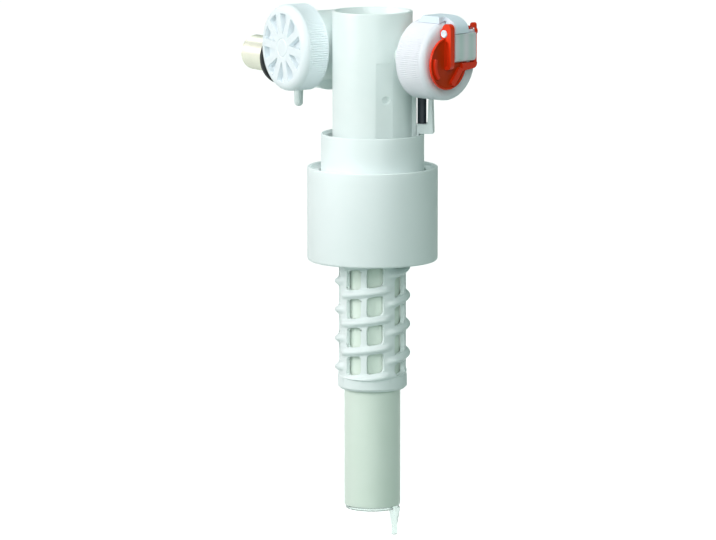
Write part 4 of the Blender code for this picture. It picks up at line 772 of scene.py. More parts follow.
def sleeve_radius(angle, height):
    """Outer radius of the sleeve, with the low rounded ribs of the thread on it."""
    pitch = THREAD_LEAD / THREAD_STARTS
    rise = THREAD_LEAD * ((angle - THREAD_PHASE_ANGLE) % FULL_TURN) / FULL_TURN
    base = THREAD_PHASE_HEIGHT + rise
    thread = round((height - base) / pitch)
    offset = abs(height - base - thread * pitch)
    if offset >= THREAD_BASE / 2 or not SLEEVE_BAND_TOP - 1.0 * MM < height < THREAD_TOP:
        return SLEEVE_RADIUS
    swell = math.cos(math.pi * offset / THREAD_BASE) ** RIB_ROUNDING
    strength = rib_strength(angle, thread)
    low_share = (WINDOW_BOTTOM + THREAD_BASE / 2 - height) / THREAD_BASE
    strength = max(strength, min(1.0, max(0.0, low_share)))
    return SLEEVE_RADIUS + THREAD_HEIGHT * swell * strength


def make_sleeve():
    columns, rows = SLEEVE_COLUMNS, SLEEVE_ROWS
    low, high = SLEEVE_BOTTOM + SLEEVE_CHAMFER, COLLAR_BOTTOM + COLLAR_WEB + GAP + SLEEVE_FLANGE
    mesh = bmesh.new()
    outer = []
    for row in range(rows + 1):
        height = low + (high - low) * row / rows
        ring = []
        for column in range(columns):
            angle = FULL_TURN * column / columns
            ring.append(mesh.verts.new(on_circle(sleeve_radius(angle, height), angle, height)))
        outer.append(ring)
    band = SLEEVE_RADIUS + SLEEVE_BAND_PROUD
    bore = SLEEVE_RADIUS - SLEEVE_WALL
    inner_rings = []
    for radius, height in ((bore, low), (bore, high)):
        inner_rings.append([mesh.verts.new(on_circle(radius, FULL_TURN * column / columns, height))
                            for column in range(columns)])
    loops = [inner_rings[0]] + outer + [inner_rings[1], inner_rings[0]]
    for lower, upper in zip(loops, loops[1:]):
        for column in range(columns):
            following = (column + 1) % columns
            mesh.faces.new((lower[column], lower[following], upper[following], upper[column]))
    sleeve = link_mesh("lattice_sleeve_skin", mesh, COLUMN)
    merge_shapes(sleeve, make_windows(), "DIFFERENCE")
    top = high
    flange = turned("sleeve_flange", [
        (bore - GAP / 2, top - SLEEVE_FLANGE, 0.0),
        (SLEEVE_FLANGE_RADIUS, top - SLEEVE_FLANGE, FINE_EDGE),
        (SLEEVE_FLANGE_RADIUS, top, FINE_EDGE),
        (bore - GAP / 2, top, FINE_EDGE),
    ], COLUMN)
    foot = turned("sleeve_foot", [
        (bore - GAP / 2, SLEEVE_BOTTOM, 0.0),
        (band - SLEEVE_CHAMFER, SLEEVE_BOTTOM, 2 * FINE_EDGE),
        (band, SLEEVE_BOTTOM + SLEEVE_CHAMFER, FINE_EDGE),
        (band, SLEEVE_BAND_TOP, FINE_EDGE),
        (bore - GAP / 2, SLEEVE_BAND_TOP, 0.0),
    ], COLUMN)
    merge_shapes(sleeve, [flange, foot], "UNION")
    tidy_edges(sleeve, 40.0)
    return finish_piece(sleeve, "float_white", "sleeve", "lattice_sleeve")


def make_windows():
    """Slanted cutters with round corners, one for each window of the sleeve."""
    cutters = []
    pitch = THREAD_LEAD / THREAD_STARTS
    half_height = (THREAD_LEAD - THREAD_BASE) / 2
    group_angle = FULL_TURN / WINDOW_GROUPS
    for group in range(WINDOW_GROUPS):
        for window in range(2):
            start = WINDOW_GROUP_START + group * group_angle + window * (WINDOW_ANGLE + WINDOW_BAR)
            middle_angle = start + WINDOW_ANGLE / 2
            rise = THREAD_LEAD * ((middle_angle - THREAD_PHASE_ANGLE) % FULL_TURN) / FULL_TURN
            for thread in range(-16, 12):
                if thread % THREAD_STARTS != group % THREAD_STARTS:
                    continue
                middle = THREAD_PHASE_HEIGHT + rise + (thread + 1) * pitch
                bottom = max(middle - half_height, WINDOW_BOTTOM)
                top = min(middle + half_height, WINDOW_TOP)
                if top - bottom < 2.4 * WINDOW_CORNER:
                    continue
                cutters.append(window_cutter(f"window_{len(cutters)}", middle_angle, bottom, top))
    return cutters


def window_cutter(name, middle_angle, bottom, top):
    """A wedge that widens outwards and follows the slope of the thread."""
    slope = THREAD_LEAD / FULL_TURN
    half = WINDOW_ANGLE / 2 * SLEEVE_RADIUS
    middle = (bottom + top) / 2
    outline = rounded([(-half, bottom - middle, WINDOW_CORNER), (half, bottom - middle, WINDOW_CORNER),
                       (half, top - middle, WINDOW_CORNER), (-half, top - middle, WINDOW_CORNER)])
    mesh = bmesh.new()
    loops = []
    for radius in (SLEEVE_RADIUS - SLEEVE_WALL - PAST, SLEEVE_RADIUS + THREAD_HEIGHT + PAST):
        loop = []
        for across, up in outline:
            angle = across / SLEEVE_RADIUS
            height = middle + up + slope * angle
            loop.append(mesh.verts.new(on_circle(radius, middle_angle + angle, height)))
        loops.append(loop)
    mesh.faces.new(loops[0])
    mesh.faces.new(loops[1])
    for number, vert in enumerate(loops[0]):
        following = (number + 1) % len(outline)
        mesh.faces.new((vert, loops[0][following], loops[1][following], loops[1][number]))
    bmesh.ops.triangulate(mesh, faces=[face for face in mesh.faces if len(face.verts) > 4])
    return link_mesh(name, mesh, COLUMN)


# Outlet


def make_outlet():
    inner = OUTLET_RADIUS - OUTLET_WALL
    top = SOCKET_BOTTOM + SOCKET_DEPTH - GAP
    tube = turned("outlet_tube_skin", [
        (inner, 0.0, FINE_EDGE),
        (OUTLET_RADIUS, 0.0, 2 * FINE_EDGE),
        (OUTLET_RADIUS, top, FINE_EDGE),
        (inner, top, FINE_EDGE),
    ], COLUMN)
    return finish_piece(tube, "tube_white", "valve_body", "outlet_tube")


# Strainer cap and inlet


def make_strainer_cap():
    back = STRAINER_CAP_FACE - STRAINER_CAP_DEPTH
    face = STRAINER_CAP_FACE
    inside = CHAMBER_RADIUS + GAP
    roof = CHAMBER_END + 2 * GAP + SEAL_THICKNESS
    cap = knurled("strainer_cap_skin", [
        (0.0, face, 0.0),
        (0.0, roof, 0.0),
        (inside, roof, FINE_EDGE),
        (inside, back, FINE_EDGE),
        (STRAINER_CAP_RADIUS, back, 2 * FINE_EDGE),
        (STRAINER_CAP_RADIUS, back + KNURL_START),
        (STRAINER_CAP_RADIUS, face - STRAINER_CAP_FILLET - KNURL_FADE),
        (STRAINER_CAP_RADIUS, face, STRAINER_CAP_FILLET),
        (STRAINER_FACE_RADIUS, face, FINE_EDGE),
        (STRAINER_FACE_RADIUS - FINE_EDGE, face - FACE_STEP, 0.0),
        (STRAINER_DISH_RADIUS, face - FACE_STEP, 0.0),
        (STRAINER_DISH_RADIUS - FINE_EDGE, face, FINE_EDGE),
    ], STRAINER, STRAINER_FLUTES, FLUTE_DEPTH, (back + GAP, face - STRAINER_CAP_FILLET))
    pockets = []
    half_turn = math.pi / SPOKES
    outer_turn = half_turn - math.asin(SPOKE_WIDTH / 2 / SPOKE_RIM_RADIUS)
    inner_turn = half_turn - math.asin(SPOKE_WIDTH / 2 / SPOKE_HUB_RADIUS)
    for spoke in range(SPOKES):
        middle = (2 * spoke + 1) * half_turn + SPOKE_TURN
        rim = arc((0.0, 0.0), SPOKE_RIM_RADIUS, middle - outer_turn, middle + outer_turn, 8)
        hub = arc((0.0, 0.0), SPOKE_HUB_RADIUS, middle + inner_turn, middle - inner_turn, 2)
        pockets.append(prism(f"pocket_{spoke}", rim + hub, face - POCKET_DEPTH, face + PAST, STRAINER))
    merge_shapes(cap, pockets, "DIFFERENCE")
    tidy_edges(cap, 40.0)
    return finish_piece(cap, "strainer_white", "strainer_cap", "strainer_cap")
# Body


def make_body():
    """Column, strainer chamber, inlet neck, valve barrel, duct, guide rail and peg in one moulding."""
    socket_radius = OUTLET_RADIUS + GAP + SOCKET_WALL
    body = turned("main_body_skin", [
        (0.0, SOCKET_BOTTOM),
        (socket_radius, SOCKET_BOTTOM, FINE_EDGE),
        (socket_radius, COLUMN_SHOULDER - COLUMN_RADIUS + socket_radius, 1.0 * MM),
        (COLUMN_RADIUS, COLUMN_SHOULDER, 1.0 * MM),
        (COLUMN_RADIUS, COLUMN_TOP, 2 * FINE_EDGE),
        (0.0, COLUMN_TOP),
    ], COLUMN, segments=144)
    merge_shapes(body, body_outsides(), "UNION")
    merge_shapes(body, body_bores(), "DIFFERENCE")
    merge_shapes(body, duct_outsides(), "UNION")
    merge_shapes(body, duct_bores(), "DIFFERENCE")
    tidy_edges(body, 32.0)
    return finish_piece(body, "body_white", "valve_body", "main_body")


def body_outsides():
    sunk = (COLUMN_RADIUS - COLUMN_WALL) / 2
    neck_end = WALL_PLANE - GASKET_THICKNESS - GAP
    chamber = turned("chamber_outside", [
        (0.0, PLENUM_BACK - PLENUM_WALL),
        (PLENUM_RADIUS + PLENUM_WALL, PLENUM_BACK - PLENUM_WALL, 1.0 * MM),
        (PLENUM_RADIUS + PLENUM_WALL, CHAMBER_BACK, 1.0 * MM),
        (CHAMBER_RADIUS, CHAMBER_BACK, 1.0 * MM),
        (CHAMBER_RADIUS, CHAMBER_END, FINE_EDGE),
        (0.0, CHAMBER_END),
    ], STRAINER)
    neck = turned("neck_outside", [
        (0.0, -NECK_REACH),
        (NECK_RADIUS - NECK_REACH, -NECK_REACH),
        (NECK_RADIUS, -NECK_REACH / 3, 1.0 * MM),
        (NECK_RADIUS, NECK_NOSE_START, 2 * FINE_EDGE),
        (NECK_NOSE_RADIUS, NECK_NOSE_START, FINE_EDGE),
        (NECK_NOSE_RADIUS, neck_end, FINE_EDGE),
        (0.0, neck_end),
    ], INLET)
    barrel = rod("barrel_outside", BARREL_RADIUS, BARREL_SHOULDER, BARREL_END, HEAD, 128)
    neck_place = HEAD @ Matrix.Translation((BARREL_NECK_ASIDE, 0.0, 0.0))
    barrel_neck = rod("barrel_neck", BARREL_NECK_RADIUS, sunk, BARREL_SHOULDER + BARREL_NECK_WALL,
                      neck_place, 64)
    foot = COLUMN_SHOULDER + PAST
    rail_frame = COLUMN @ frame_along((0.0, 0.0, 0.0), on_circle(1.0, ROD_ANGLE))
    rail = prism("guide_rail", rounded([
        (foot, COLUMN_RADIUS - COLUMN_WALL / 2),
        (foot, COLUMN_RADIUS + RAIL_HEIGHT / 2),
        (foot + RAIL_HEIGHT, COLUMN_RADIUS + RAIL_HEIGHT, 1.0 * MM),
        (RAIL_TOP - RAIL_HEIGHT / 2, COLUMN_RADIUS + RAIL_HEIGHT, 0.5 * MM),
        (RAIL_TOP, COLUMN_RADIUS - COLUMN_WALL / 2),
    ]), -RAIL_WIDTH / 2, RAIL_WIDTH / 2, rail_frame, along="X")
    peg_top = INLET_HEIGHT - NECK_RADIUS + PEG_RADIUS
    peg = turned("locating_peg", [
        (0.0, PEG_BOTTOM), (PEG_TIP_RADIUS, PEG_BOTTOM, PEG_TIP_RADIUS * 0.9), (PEG_RADIUS, peg_top),
        (0.0, peg_top),
    ], COLUMN @ Matrix.Translation((-INLET_OFFSET, STRAINER_OFFSET + PEG_PLACE, 0.0)), segments=40)
    return [chamber, neck, barrel, barrel_neck, rail, peg]


def body_bores():
    socket_top = SOCKET_BOTTOM + SOCKET_DEPTH
    bore = COLUMN_RADIUS - COLUMN_WALL
    socket_bore = OUTLET_RADIUS + GAP
    seal_low = SOCKET_BOTTOM + SOCKET_SEAL_HEIGHT
    seal_high = seal_low + SEAL_WIDTH + 2 * GAP
    groove = socket_bore + SEAL_THICKNESS + GAP
    throat = OUTLET_RADIUS - OUTLET_WALL
    column_bore = turned("column_bore", [
        (0.0, SOCKET_BOTTOM - PAST),
        (socket_bore, SOCKET_BOTTOM - PAST),
        (socket_bore, seal_low),
        (groove, seal_low),
        (groove, seal_high),
        (socket_bore, seal_high),
        (socket_bore, socket_top),
        (throat, socket_top),
        (throat, socket_top + COLUMN_WALL),
        (bore, COLUMN_SHOULDER + COLUMN_TAPER, 2.0 * MM),
        (bore, COLUMN_TOP - 2 * FINE_EDGE),
        (bore + 2 * FINE_EDGE, COLUMN_TOP + GAP),
        (bore + 2 * FINE_EDGE, COLUMN_TOP + PAST),
        (0.0, COLUMN_TOP + PAST),
    ], COLUMN, segments=144)
    chamber_bore = turned("chamber_bore", [
        (0.0, PLENUM_BACK),
        (PLENUM_RADIUS, PLENUM_BACK),
        (PLENUM_RADIUS, CHAMBER_FLOOR),
        (CHAMBER_RADIUS - CHAMBER_WALL, CHAMBER_FLOOR),
        (CHAMBER_RADIUS - CHAMBER_WALL, CHAMBER_END + PAST),
        (0.0, CHAMBER_END + PAST),
    ], STRAINER, segments=64)
    seal_bore = SHANK_RADIUS + GAP
    neck_bore = turned("neck_bore", [
        (0.0, NECK_REACH / 3),
        (SHANK_BORE, NECK_REACH / 3),
        (SHANK_BORE, SHANK_START - GAP),
        (seal_bore, SHANK_START - GAP),
        (seal_bore, SHANK_SEAL_PLACE),
        (seal_bore + SEAL_THICKNESS + GAP, SHANK_SEAL_PLACE),
        (seal_bore + SEAL_THICKNESS + GAP, SHANK_SEAL_PLACE + SEAL_WIDTH + 2 * GAP),
        (seal_bore, SHANK_SEAL_PLACE + SEAL_WIDTH + 2 * GAP),
        (seal_bore, WALL_PLANE + PAST),
        (0.0, WALL_PLANE + PAST),
    ], INLET, segments=64)
    neck_place = HEAD @ Matrix.Translation((BARREL_NECK_ASIDE, 0.0, 0.0))
    drain_bore = rod("drain_bore", BARREL_NECK_RADIUS - BARREL_NECK_WALL, bore / 2, BARREL_FLOOR + PAST,
                     neck_place)
    barrel_bore = rod("barrel_bore", BARREL_RADIUS - BARREL_WALL, BARREL_FLOOR, BARREL_END + PAST, HEAD, 64)
    strip_frame = COLUMN @ frame_along((0.0, 0.0, 0.0), on_circle(1.0, STRIP_ANGLE))
    flat = COLUMN_RADIUS - STRIP_DEPTH
    strip = block("front_strip", (-STRIP_WIDTH / 2, COLLAR_TOP - PAST, flat),
                  (STRIP_WIDTH / 2, STRIP_TOP, COLUMN_RADIUS + PAST), strip_frame)
    dimple = turned("gate_dimple", [
        (0.0, flat - DIMPLE_DEPTH), (DIMPLE_RADIUS, flat - DIMPLE_DEPTH, 0.3 * MM),
        (DIMPLE_RADIUS + FINE_EDGE, COLUMN_RADIUS + PAST), (0.0, COLUMN_RADIUS + PAST),
    ], strip_frame @ Matrix.Translation((DIMPLE_ASIDE, DIMPLE_HEIGHT, 0.0)), segments=40)
    return [column_bore, chamber_bore, neck_bore, drain_bore, barrel_bore, strip, dimple]


def duct_shapes(name, radius, swell_steps, inlet_end, outlet_end):
    """Two straight legs and a ball at the column's axis."""
    duct = COLUMN @ frame_along((0.0, 0.0, HEAD_HEIGHT), (DUCT_ASIDE, STRAINER_OFFSET, 0.0))
    ball = arc((0.0, HEAD_HEIGHT), radius + ELBOW_SWELL, -math.pi / 2, math.pi / 2, swell_steps)
    return [
        rod(name + "_inlet", radius, ELBOW_SWELL, inlet_end, duct, 40),
        rod(name + "_outlet", radius, 2 * ELBOW_SWELL, outlet_end, HEAD, 40),
        turned(name + "_elbow", ball, COLUMN, segments=40),
    ]


def duct_outsides():
    return duct_shapes("duct", DUCT_RADIUS, 15, COLUMN_RADIUS + COLUMN_WALL, DUCT_END)


def duct_bores():
    return duct_shapes("duct_bore", DUCT_BORE, 11, STRAINER_OFFSET - PLENUM_RADIUS / 2, DUCT_END + PAST)


def make_inlet():
    end = WALL_PLANE + SHANK_LENGTH_OUTSIDE
    corners = [(SHANK_BORE, SHANK_START, 0.0), (SHANK_RADIUS, SHANK_START, 0.0),
               (SHANK_RADIUS, SHANK_THREAD_START, 0.0)]
    pitches = int((end - SHANK_CHAMFER - SHANK_THREAD_START) / SHANK_PITCH)
    for turn in range(pitches):
        place = SHANK_THREAD_START + turn * SHANK_PITCH
        corners.append((SHANK_RADIUS - SHANK_THREAD_DEPTH, place + SHANK_PITCH / 2, 0.1 * MM))
        corners.append((SHANK_RADIUS, place + SHANK_PITCH, 0.1 * MM))
    corners += [(SHANK_RADIUS - SHANK_CHAMFER, end, 0.15 * MM),
                (SHANK_BORE + SHANK_CHAMFER, end, 0.15 * MM), (SHANK_BORE, end - SHANK_CHAMFER, 0.0)]
    shank = turned("inlet_shank_skin", corners, INLET, segments=96, steps=2)
    finish_piece(shank, "shank_nickel", "valve_body", "inlet_shank")
    gasket = turned("shank_gasket_skin", [
        (SHANK_RADIUS + GAP, WALL_PLANE - GASKET_THICKNESS, 2 * FINE_EDGE),
        (GASKET_RADIUS, WALL_PLANE - GASKET_THICKNESS, 2 * FINE_EDGE),
        (GASKET_RADIUS, WALL_PLANE, 2 * FINE_EDGE),
        (SHANK_RADIUS + GAP, WALL_PLANE, 2 * FINE_EDGE),
    ], INLET)
    finish_piece(gasket, "rubber_black", "valve_body", "shank_gasket")


# Valve cap, hood and pivot block


def make_valve_cap():
    face = VALVE_CAP_FACE
    back = VALVE_CAP_SKIRT
    clamp = BARREL_END + 2 * GAP + DIAPHRAGM_THICKNESS
    cap = knurled("valve_cap_skin", [
        (PILOT_DISH, face, 0.0),
        (PILOT_DISH, face - FINE_EDGE, 0.0),
        (0.0, face - FINE_EDGE, 0.0),
        (0.0, face - VALVE_CAP_FRONT_WALL, 0.0),
        (VALVE_CAP_CAVITY_RADIUS, face - VALVE_CAP_FRONT_WALL, 0.0),
        (VALVE_CAP_CAVITY_RADIUS, clamp, 0.0),
        (BARREL_RADIUS + GAP, clamp, 0.0),
        (BARREL_RADIUS + GAP, back, FINE_EDGE),
        (VALVE_CAP_RADIUS, back, 2 * FINE_EDGE),
        (VALVE_CAP_RADIUS, back + KNURL_START),
        (VALVE_CAP_RADIUS, face - VALVE_CAP_FILLET - KNURL_FADE),
        (VALVE_CAP_RADIUS, face, VALVE_CAP_FILLET),
    ], HEAD, VALVE_CAP_FLUTES, FLUTE_DEPTH, (back + 2 * FINE_EDGE, face - VALVE_CAP_FILLET))
    pilot = rod("pilot_hole", PILOT_BORE, face - 2 * VALVE_CAP_FRONT_WALL, face + PAST,
                HEAD @ Matrix.Translation((PILOT_ACROSS, PILOT_HEIGHT, 0.0)), 24)
    merge_shapes(cap, [pilot], "DIFFERENCE")
    tidy_edges(cap, 60.0)
    return finish_piece(cap, "cap_white", "valve_body", "valve_cap")


def make_hood():
    """One strap over the valve cap that turns down in front, with room for the lever's arm."""
    plate_back = HOOD_FRONT - HOOD_PLATE
    brow = []
    for place, height in arc((0.0, 0.0), 1.0, math.pi / 2, 0.0, 12):
        brow.append((HOOD_TOP - HOOD_BROW_DROP * (1.0 - height),
                     HOOD_BROW + (HOOD_FRONT - HOOD_BROW) * place))
    side = [(HOOD_TOP - HOOD_SLOPE, HOOD_BACK), (HOOD_TOP, HOOD_BACK + HOOD_SLOPE)] + brow + [
        (HOOD_PLATE_BOTTOM, HOOD_FRONT),
        (HOOD_PLATE_BOTTOM, plate_back),
        (BLOCK_TOP + GAP, plate_back),
        (BLOCK_TOP + GAP, VALVE_CAP_FACE + GAP),
        (HOOD_EDGE, VALVE_CAP_FACE + GAP),
        (HOOD_EDGE, HOOD_BACK),
    ]
    hood = prism("cap_hood_skin", side, SADDLE_LEFT, HOOD_RIGHT, HEAD, along="X")
    hollow = rod("hood_hollow", VALVE_CAP_RADIUS + GAP / 2, HOOD_BACK - PAST, VALVE_CAP_FACE + GAP / 2,
                 HEAD, 160)
    arm_room = block("hood_arm_room", (SADDLE_LEFT - PAST, HOOD_EDGE - PAST, SADDLE_FRONT),
                     (HOOD_LEFT, HOOD_TOP + PAST, HOOD_FRONT + PAST), HEAD)
    merge_shapes(hood, [hollow, arm_room], "DIFFERENCE")
    soften(hood, HOOD_ROUNDING, sharp=32.0, segments=4)
    return finish_piece(hood, "hood_white", "valve_body", "cap_hood")


def make_pivot_block():
    nose = HOOD_FRONT
    outline = rounded([
        (BLOCK_BOTTOM, VALVE_CAP_FACE + GAP, 0.0),
        (BLOCK_BOTTOM, nose, BLOCK_CORNER),
        (HOOD_PLATE_BOTTOM - GAP, nose, FINE_EDGE),
        (HOOD_PLATE_BOTTOM - GAP, nose - HOOD_PLATE - GAP, 0.0),
        (BLOCK_TOP, nose - HOOD_PLATE - GAP, FINE_EDGE),
        (BLOCK_TOP, VALVE_CAP_FACE + 2 * GAP, 0.0),
    ], 6)
    body = prism("pivot_block_skin", outline, BLOCK_LEFT, BLOCK_RIGHT, HEAD, along="X")
    shapes = [rod("pin_bore", PIN_RADIUS + GAP, -CLIP_OUTER, CLIP_OUTER, PIN_AXIS, 32)]
    shapes.append(block("pin_saddle", (HOOD_RIGHT + GAP, BLOCK_SADDLE, VALVE_CAP_FACE),
                        (BLOCK_RIGHT + PAST, BLOCK_TOP + PAST, nose + PAST), HEAD))
    merge_shapes(body, shapes, "DIFFERENCE")
    soften(body, FINE_EDGE, sharp=30.0, segments=2)
    finish_piece(body, "clear_plastic", "valve_body", "pivot_block")

    left = BLOCK_LEFT_IN_CAD - ARM_CLEARANCE - LEFT_ARM_WIDTH - PIN_STICKS_OUT
    right = BLOCK_RIGHT_IN_CAD + ARM_CLEARANCE + RIGHT_ARM_WIDTH - PIN_STICKS_OUT / 2
    pin = turned("lever_pin_skin", [
        (0.0, left + PIN_DISH, 0.0),
        (PIN_RADIUS / 2, left + PIN_DISH, FINE_EDGE),
        (PIN_RADIUS / 2 + PIN_DISH, left, FINE_EDGE),
        (PIN_RADIUS, left, FINE_EDGE),
        (PIN_RADIUS, HOOD_RIGHT - PIN_RADIUS),
        (PIN_RADIUS / 2, HOOD_RIGHT),
        (PIN_RADIUS / 2, right + PIN_STICKS_OUT, FINE_EDGE),
        (0.0, right + PIN_STICKS_OUT, 0.0),
    ], PIN_AXIS, segments=48)
    finish_piece(pin, "hood_white", "valve_body", "lever_pin")


def make_lever():
    """Disc, side arms and rear fork in one moulding, placed from the pivot."""
    def at(place, height):
        return place - PIVOT_PLACE, height - PIVOT_HEIGHT

    back, disc_height = at(LEVER_BACK, LEVER_DISC_HEIGHT)
    front = back + LEVER_DISC_THICKNESS
    middle = PIVOT @ Matrix.Translation((LEVER_DISC_ACROSS, disc_height, 0.0))
    radius = LEVER_DISC_RADIUS
    lever = turned("lever_skin", [
        (0.0, back, 0.0),
        (radius, back, 2 * FINE_EDGE),
        (radius, front, 2 * FINE_EDGE),
        (radius - LEVER_RIM, front, FINE_EDGE),
        (radius - LEVER_RIM, front - LEVER_DISH, FINE_EDGE),
        (0.0, front - LEVER_DISH, 0.0),
    ], middle, segments=128)

    block_low, block_bottom = at(VALVE_CAP_FACE - PAST, BLOCK_BOTTOM - ARM_CLEARANCE)
    left_inner = BLOCK_LEFT_IN_CAD - ARM_CLEARANCE
    right_inner = BLOCK_RIGHT_IN_CAD + ARM_CLEARANCE
    room = block("block_room", (left_inner, block_bottom, block_low),
                 (right_inner, block_bottom + HOOD_TOP, front + ARM_DEPTH), PIVOT)
    merge_shapes(lever, [room], "DIFFERENCE")

    left_outer = left_inner - LEFT_ARM_WIDTH
    arm_inner = left_inner - LEFT_ARM_RELIEF
    right_outer = right_inner + RIGHT_ARM_WIDTH
    rear_inner = right_outer - REAR_ARM_INSET
    rear_outer = rear_inner + REAR_ARM_WIDTH
    arm_back = ARM_BACK - PIVOT_PLACE
    arm_front = arm_back + ARM_DEPTH
    top = ARM_TOP - PIVOT_HEIGHT
    bottom = LEFT_ARM_BOTTOM - PIVOT_HEIGHT
    crown = ARM_DEPTH / 2
    bridge_low = BRIDGE_BOTTOM - PIVOT_HEIGHT
    bridge_high = BRIDGE_TOP - PIVOT_HEIGHT

    def arm(name, low, high, bottom, top, back, front, fillet):
        outline = rounded([(bottom, back, fillet), (top, back, fillet), (top, front, fillet),
                           (bottom, front, fillet)], 10)
        return prism(name, outline, low, high, PIVOT, along="X")

    solids = [
        rod("left_eye", EYE_RADIUS, left_outer, arm_inner, PIN_AXIS, 64),
        rod("right_eye", RIGHT_EYE_RADIUS, right_inner, right_outer, PIN_AXIS, 64),
        arm("left_arm", left_outer, arm_inner, bottom, top, arm_back, arm_front, crown - GAP / 2),
        arm("right_arm", right_inner, right_outer, bridge_low, RIGHT_ARM_TOP - PIVOT_HEIGHT,
            arm_back, arm_back + RIGHT_ARM_DEPTH, RIGHT_ARM_DEPTH / 2 - GAP / 4),
    ]
    edge = LEVER_DISC_ACROSS + LEVER_DISC_RADIUS - 2 * PAST
    bridge = rounded([(edge, bridge_low - PAST / 2, 0.0), (right_outer, bridge_low, BRIDGE_CORNER),
                      (right_outer, bridge_high, 0.0), (edge, bridge_high, 0.0)], 10)
    rib_back = front - LEVER_DISH - FINE_EDGE
    rib_front = front + RIB_HEIGHT
    solids.append(prism("bridge", bridge, back + GAP / 2, rib_front, PIVOT))

    rib_room = LEVER_DISC_RADIUS - RIB_INSET
    centre = (LEVER_DISC_ACROSS, disc_height)
    curved = arc(centre, rib_room, CURVED_RIB_START, CURVED_RIB_END, 12)
    curved += arc(centre, rib_room - RIB_WIDTH, CURVED_RIB_END, CURVED_RIB_START, 12)
    solids.append(prism("curved_rib", curved, rib_back, rib_front, PIVOT))
    lift = Vector((0.0, PIVOT_HEIGHT))
    rib_top = Vector(STRAIGHT_RIB_TOP) - lift
    rib_foot = Vector(STRAIGHT_RIB_FOOT) - lift
    beside = (rib_foot - rib_top).orthogonal().normalized() * STRAIGHT_RIB_WIDTH / 2
    straight = [(point.x, point.y, STRAIGHT_RIB_WIDTH / 3) for point in
                (rib_top + beside, rib_top - beside, rib_foot - beside, rib_foot + beside)]
    solids.append(prism("straight_rib", rounded(straight), rib_back, rib_front, PIVOT))

    across, along = head_place(ROD_PLACE, ROD_ANGLE)
    rear_bottom = REAR_ARM_BOTTOM - PIVOT_HEIGHT
    rear_top = REAR_ARM_TOP - PIVOT_HEIGHT
    rod_line = along - PIVOT_PLACE
    slot_half = ROD_NECK_RADIUS + FORK_SLOT_PLAY + GAP
    fork_low = rear_bottom - FORK_DROP
    fork_back = rod_line + slot_half + GAP
    slot_end = across + slot_half
    solids += [
        block("rear_arm", (rear_inner, rear_bottom, fork_back),
              (rear_outer, rear_top, arm_back + PAST / 2), PIVOT),
        block("rear_drop", (rear_inner + GAP / 2, fork_low + GAP / 2, fork_back + GAP / 2),
              (rear_outer - GAP / 2, rear_top - GAP / 2, VALVE_CAP_BACK - PAST - PIVOT_PLACE), PIVOT),
        block("rear_fork", (across - slot_half - GAP, fork_low, rod_line - slot_half - FORK_WALL),
              (slot_end + FORK_WALL, fork_low + FORK_THICKNESS, rod_line + slot_half + FORK_WALL), PIVOT),
    ]
    merge_shapes(lever, solids, "UNION")

    panel = rounded([(bottom + ARM_RIM, front + FINE_EDGE, 0.0), (top - PANEL_DROP, front + FINE_EDGE, 0.0),
                     (top - PANEL_DROP, arm_front - ARM_RIM, PANEL_CORNER),
                     (bottom + ARM_RIM, arm_front - ARM_RIM, PANEL_CORNER)], 8)
    pad_seat = rod("pad_seat", PAD_RADIUS + GAP, back - PAST, back - PAD_PROUD + PAD_THICKNESS + GAP,
                   PIVOT @ Matrix.Translation((PILOT_ACROSS, PILOT_HEIGHT - PIVOT_HEIGHT, 0.0)), 48)
    holes = [
        prism("arm_panel", panel, left_outer - PAST, left_outer + PANEL_DEPTH, PIVOT, along="X"),
        block("fork_slot", (across - slot_half - PAST, fork_low - PAST, rod_line - slot_half),
              (slot_end, fork_low + FORK_THICKNESS + PAST, rod_line + slot_half), PIVOT),
        rod("pin_hole", PIN_RADIUS + GAP / 3, -CLIP_OUTER, CLIP_OUTER, PIN_AXIS, 48),
        pad_seat,
    ]
    merge_shapes(lever, holes, "DIFFERENCE")
    finish_piece(lever, "lever_red", "lever", "lever")
    lever.data.materials.append(LEVER_PAINTED_SHADE)
    # Painted shade: faces that look forward at the depth of the disc's front face, recessed between the
    # arms and ribs, take the darker red
    inward = PIVOT.inverted()
    for polygon in lever.data.polygons:
        faces_forward = (inward.to_3x3() @ polygon.normal).z > FACES_FORWARD
        if faces_forward and (inward @ polygon.center).z < front + FINE_EDGE:
            polygon.material_index = 1
    soften(lever, 1.2 * FINE_EDGE, sharp=38.0, segments=3)
    return lever


def head_place(radius, angle):
    """Where a point beside the column lies across and along the head's axis."""
    return radius * math.sin(angle - HEAD_ANGLE), radius * math.cos(angle - HEAD_ANGLE)


# Every piece


make_body()
make_float()
make_collar()
make_sleeve()
make_outlet()
make_strainer_cap()
make_inlet()
make_valve_cap()
make_hood()
make_pivot_block()
make_lever()
nozzle = refined("drip_nozzle")
nozzle.data.materials.clear()
nozzle.data.materials.append(NOZZLE_CLEAR)
for node_name in ("push_rod", "rod_clip", "outlet_seal", "shank_seal", "flow_restrictor",
                  "valve_seat", "diaphragm", "valve_plunger", "pilot_pad", "strainer_basket",
                  "strainer_seal"):
    refined(node_name)


# Stage


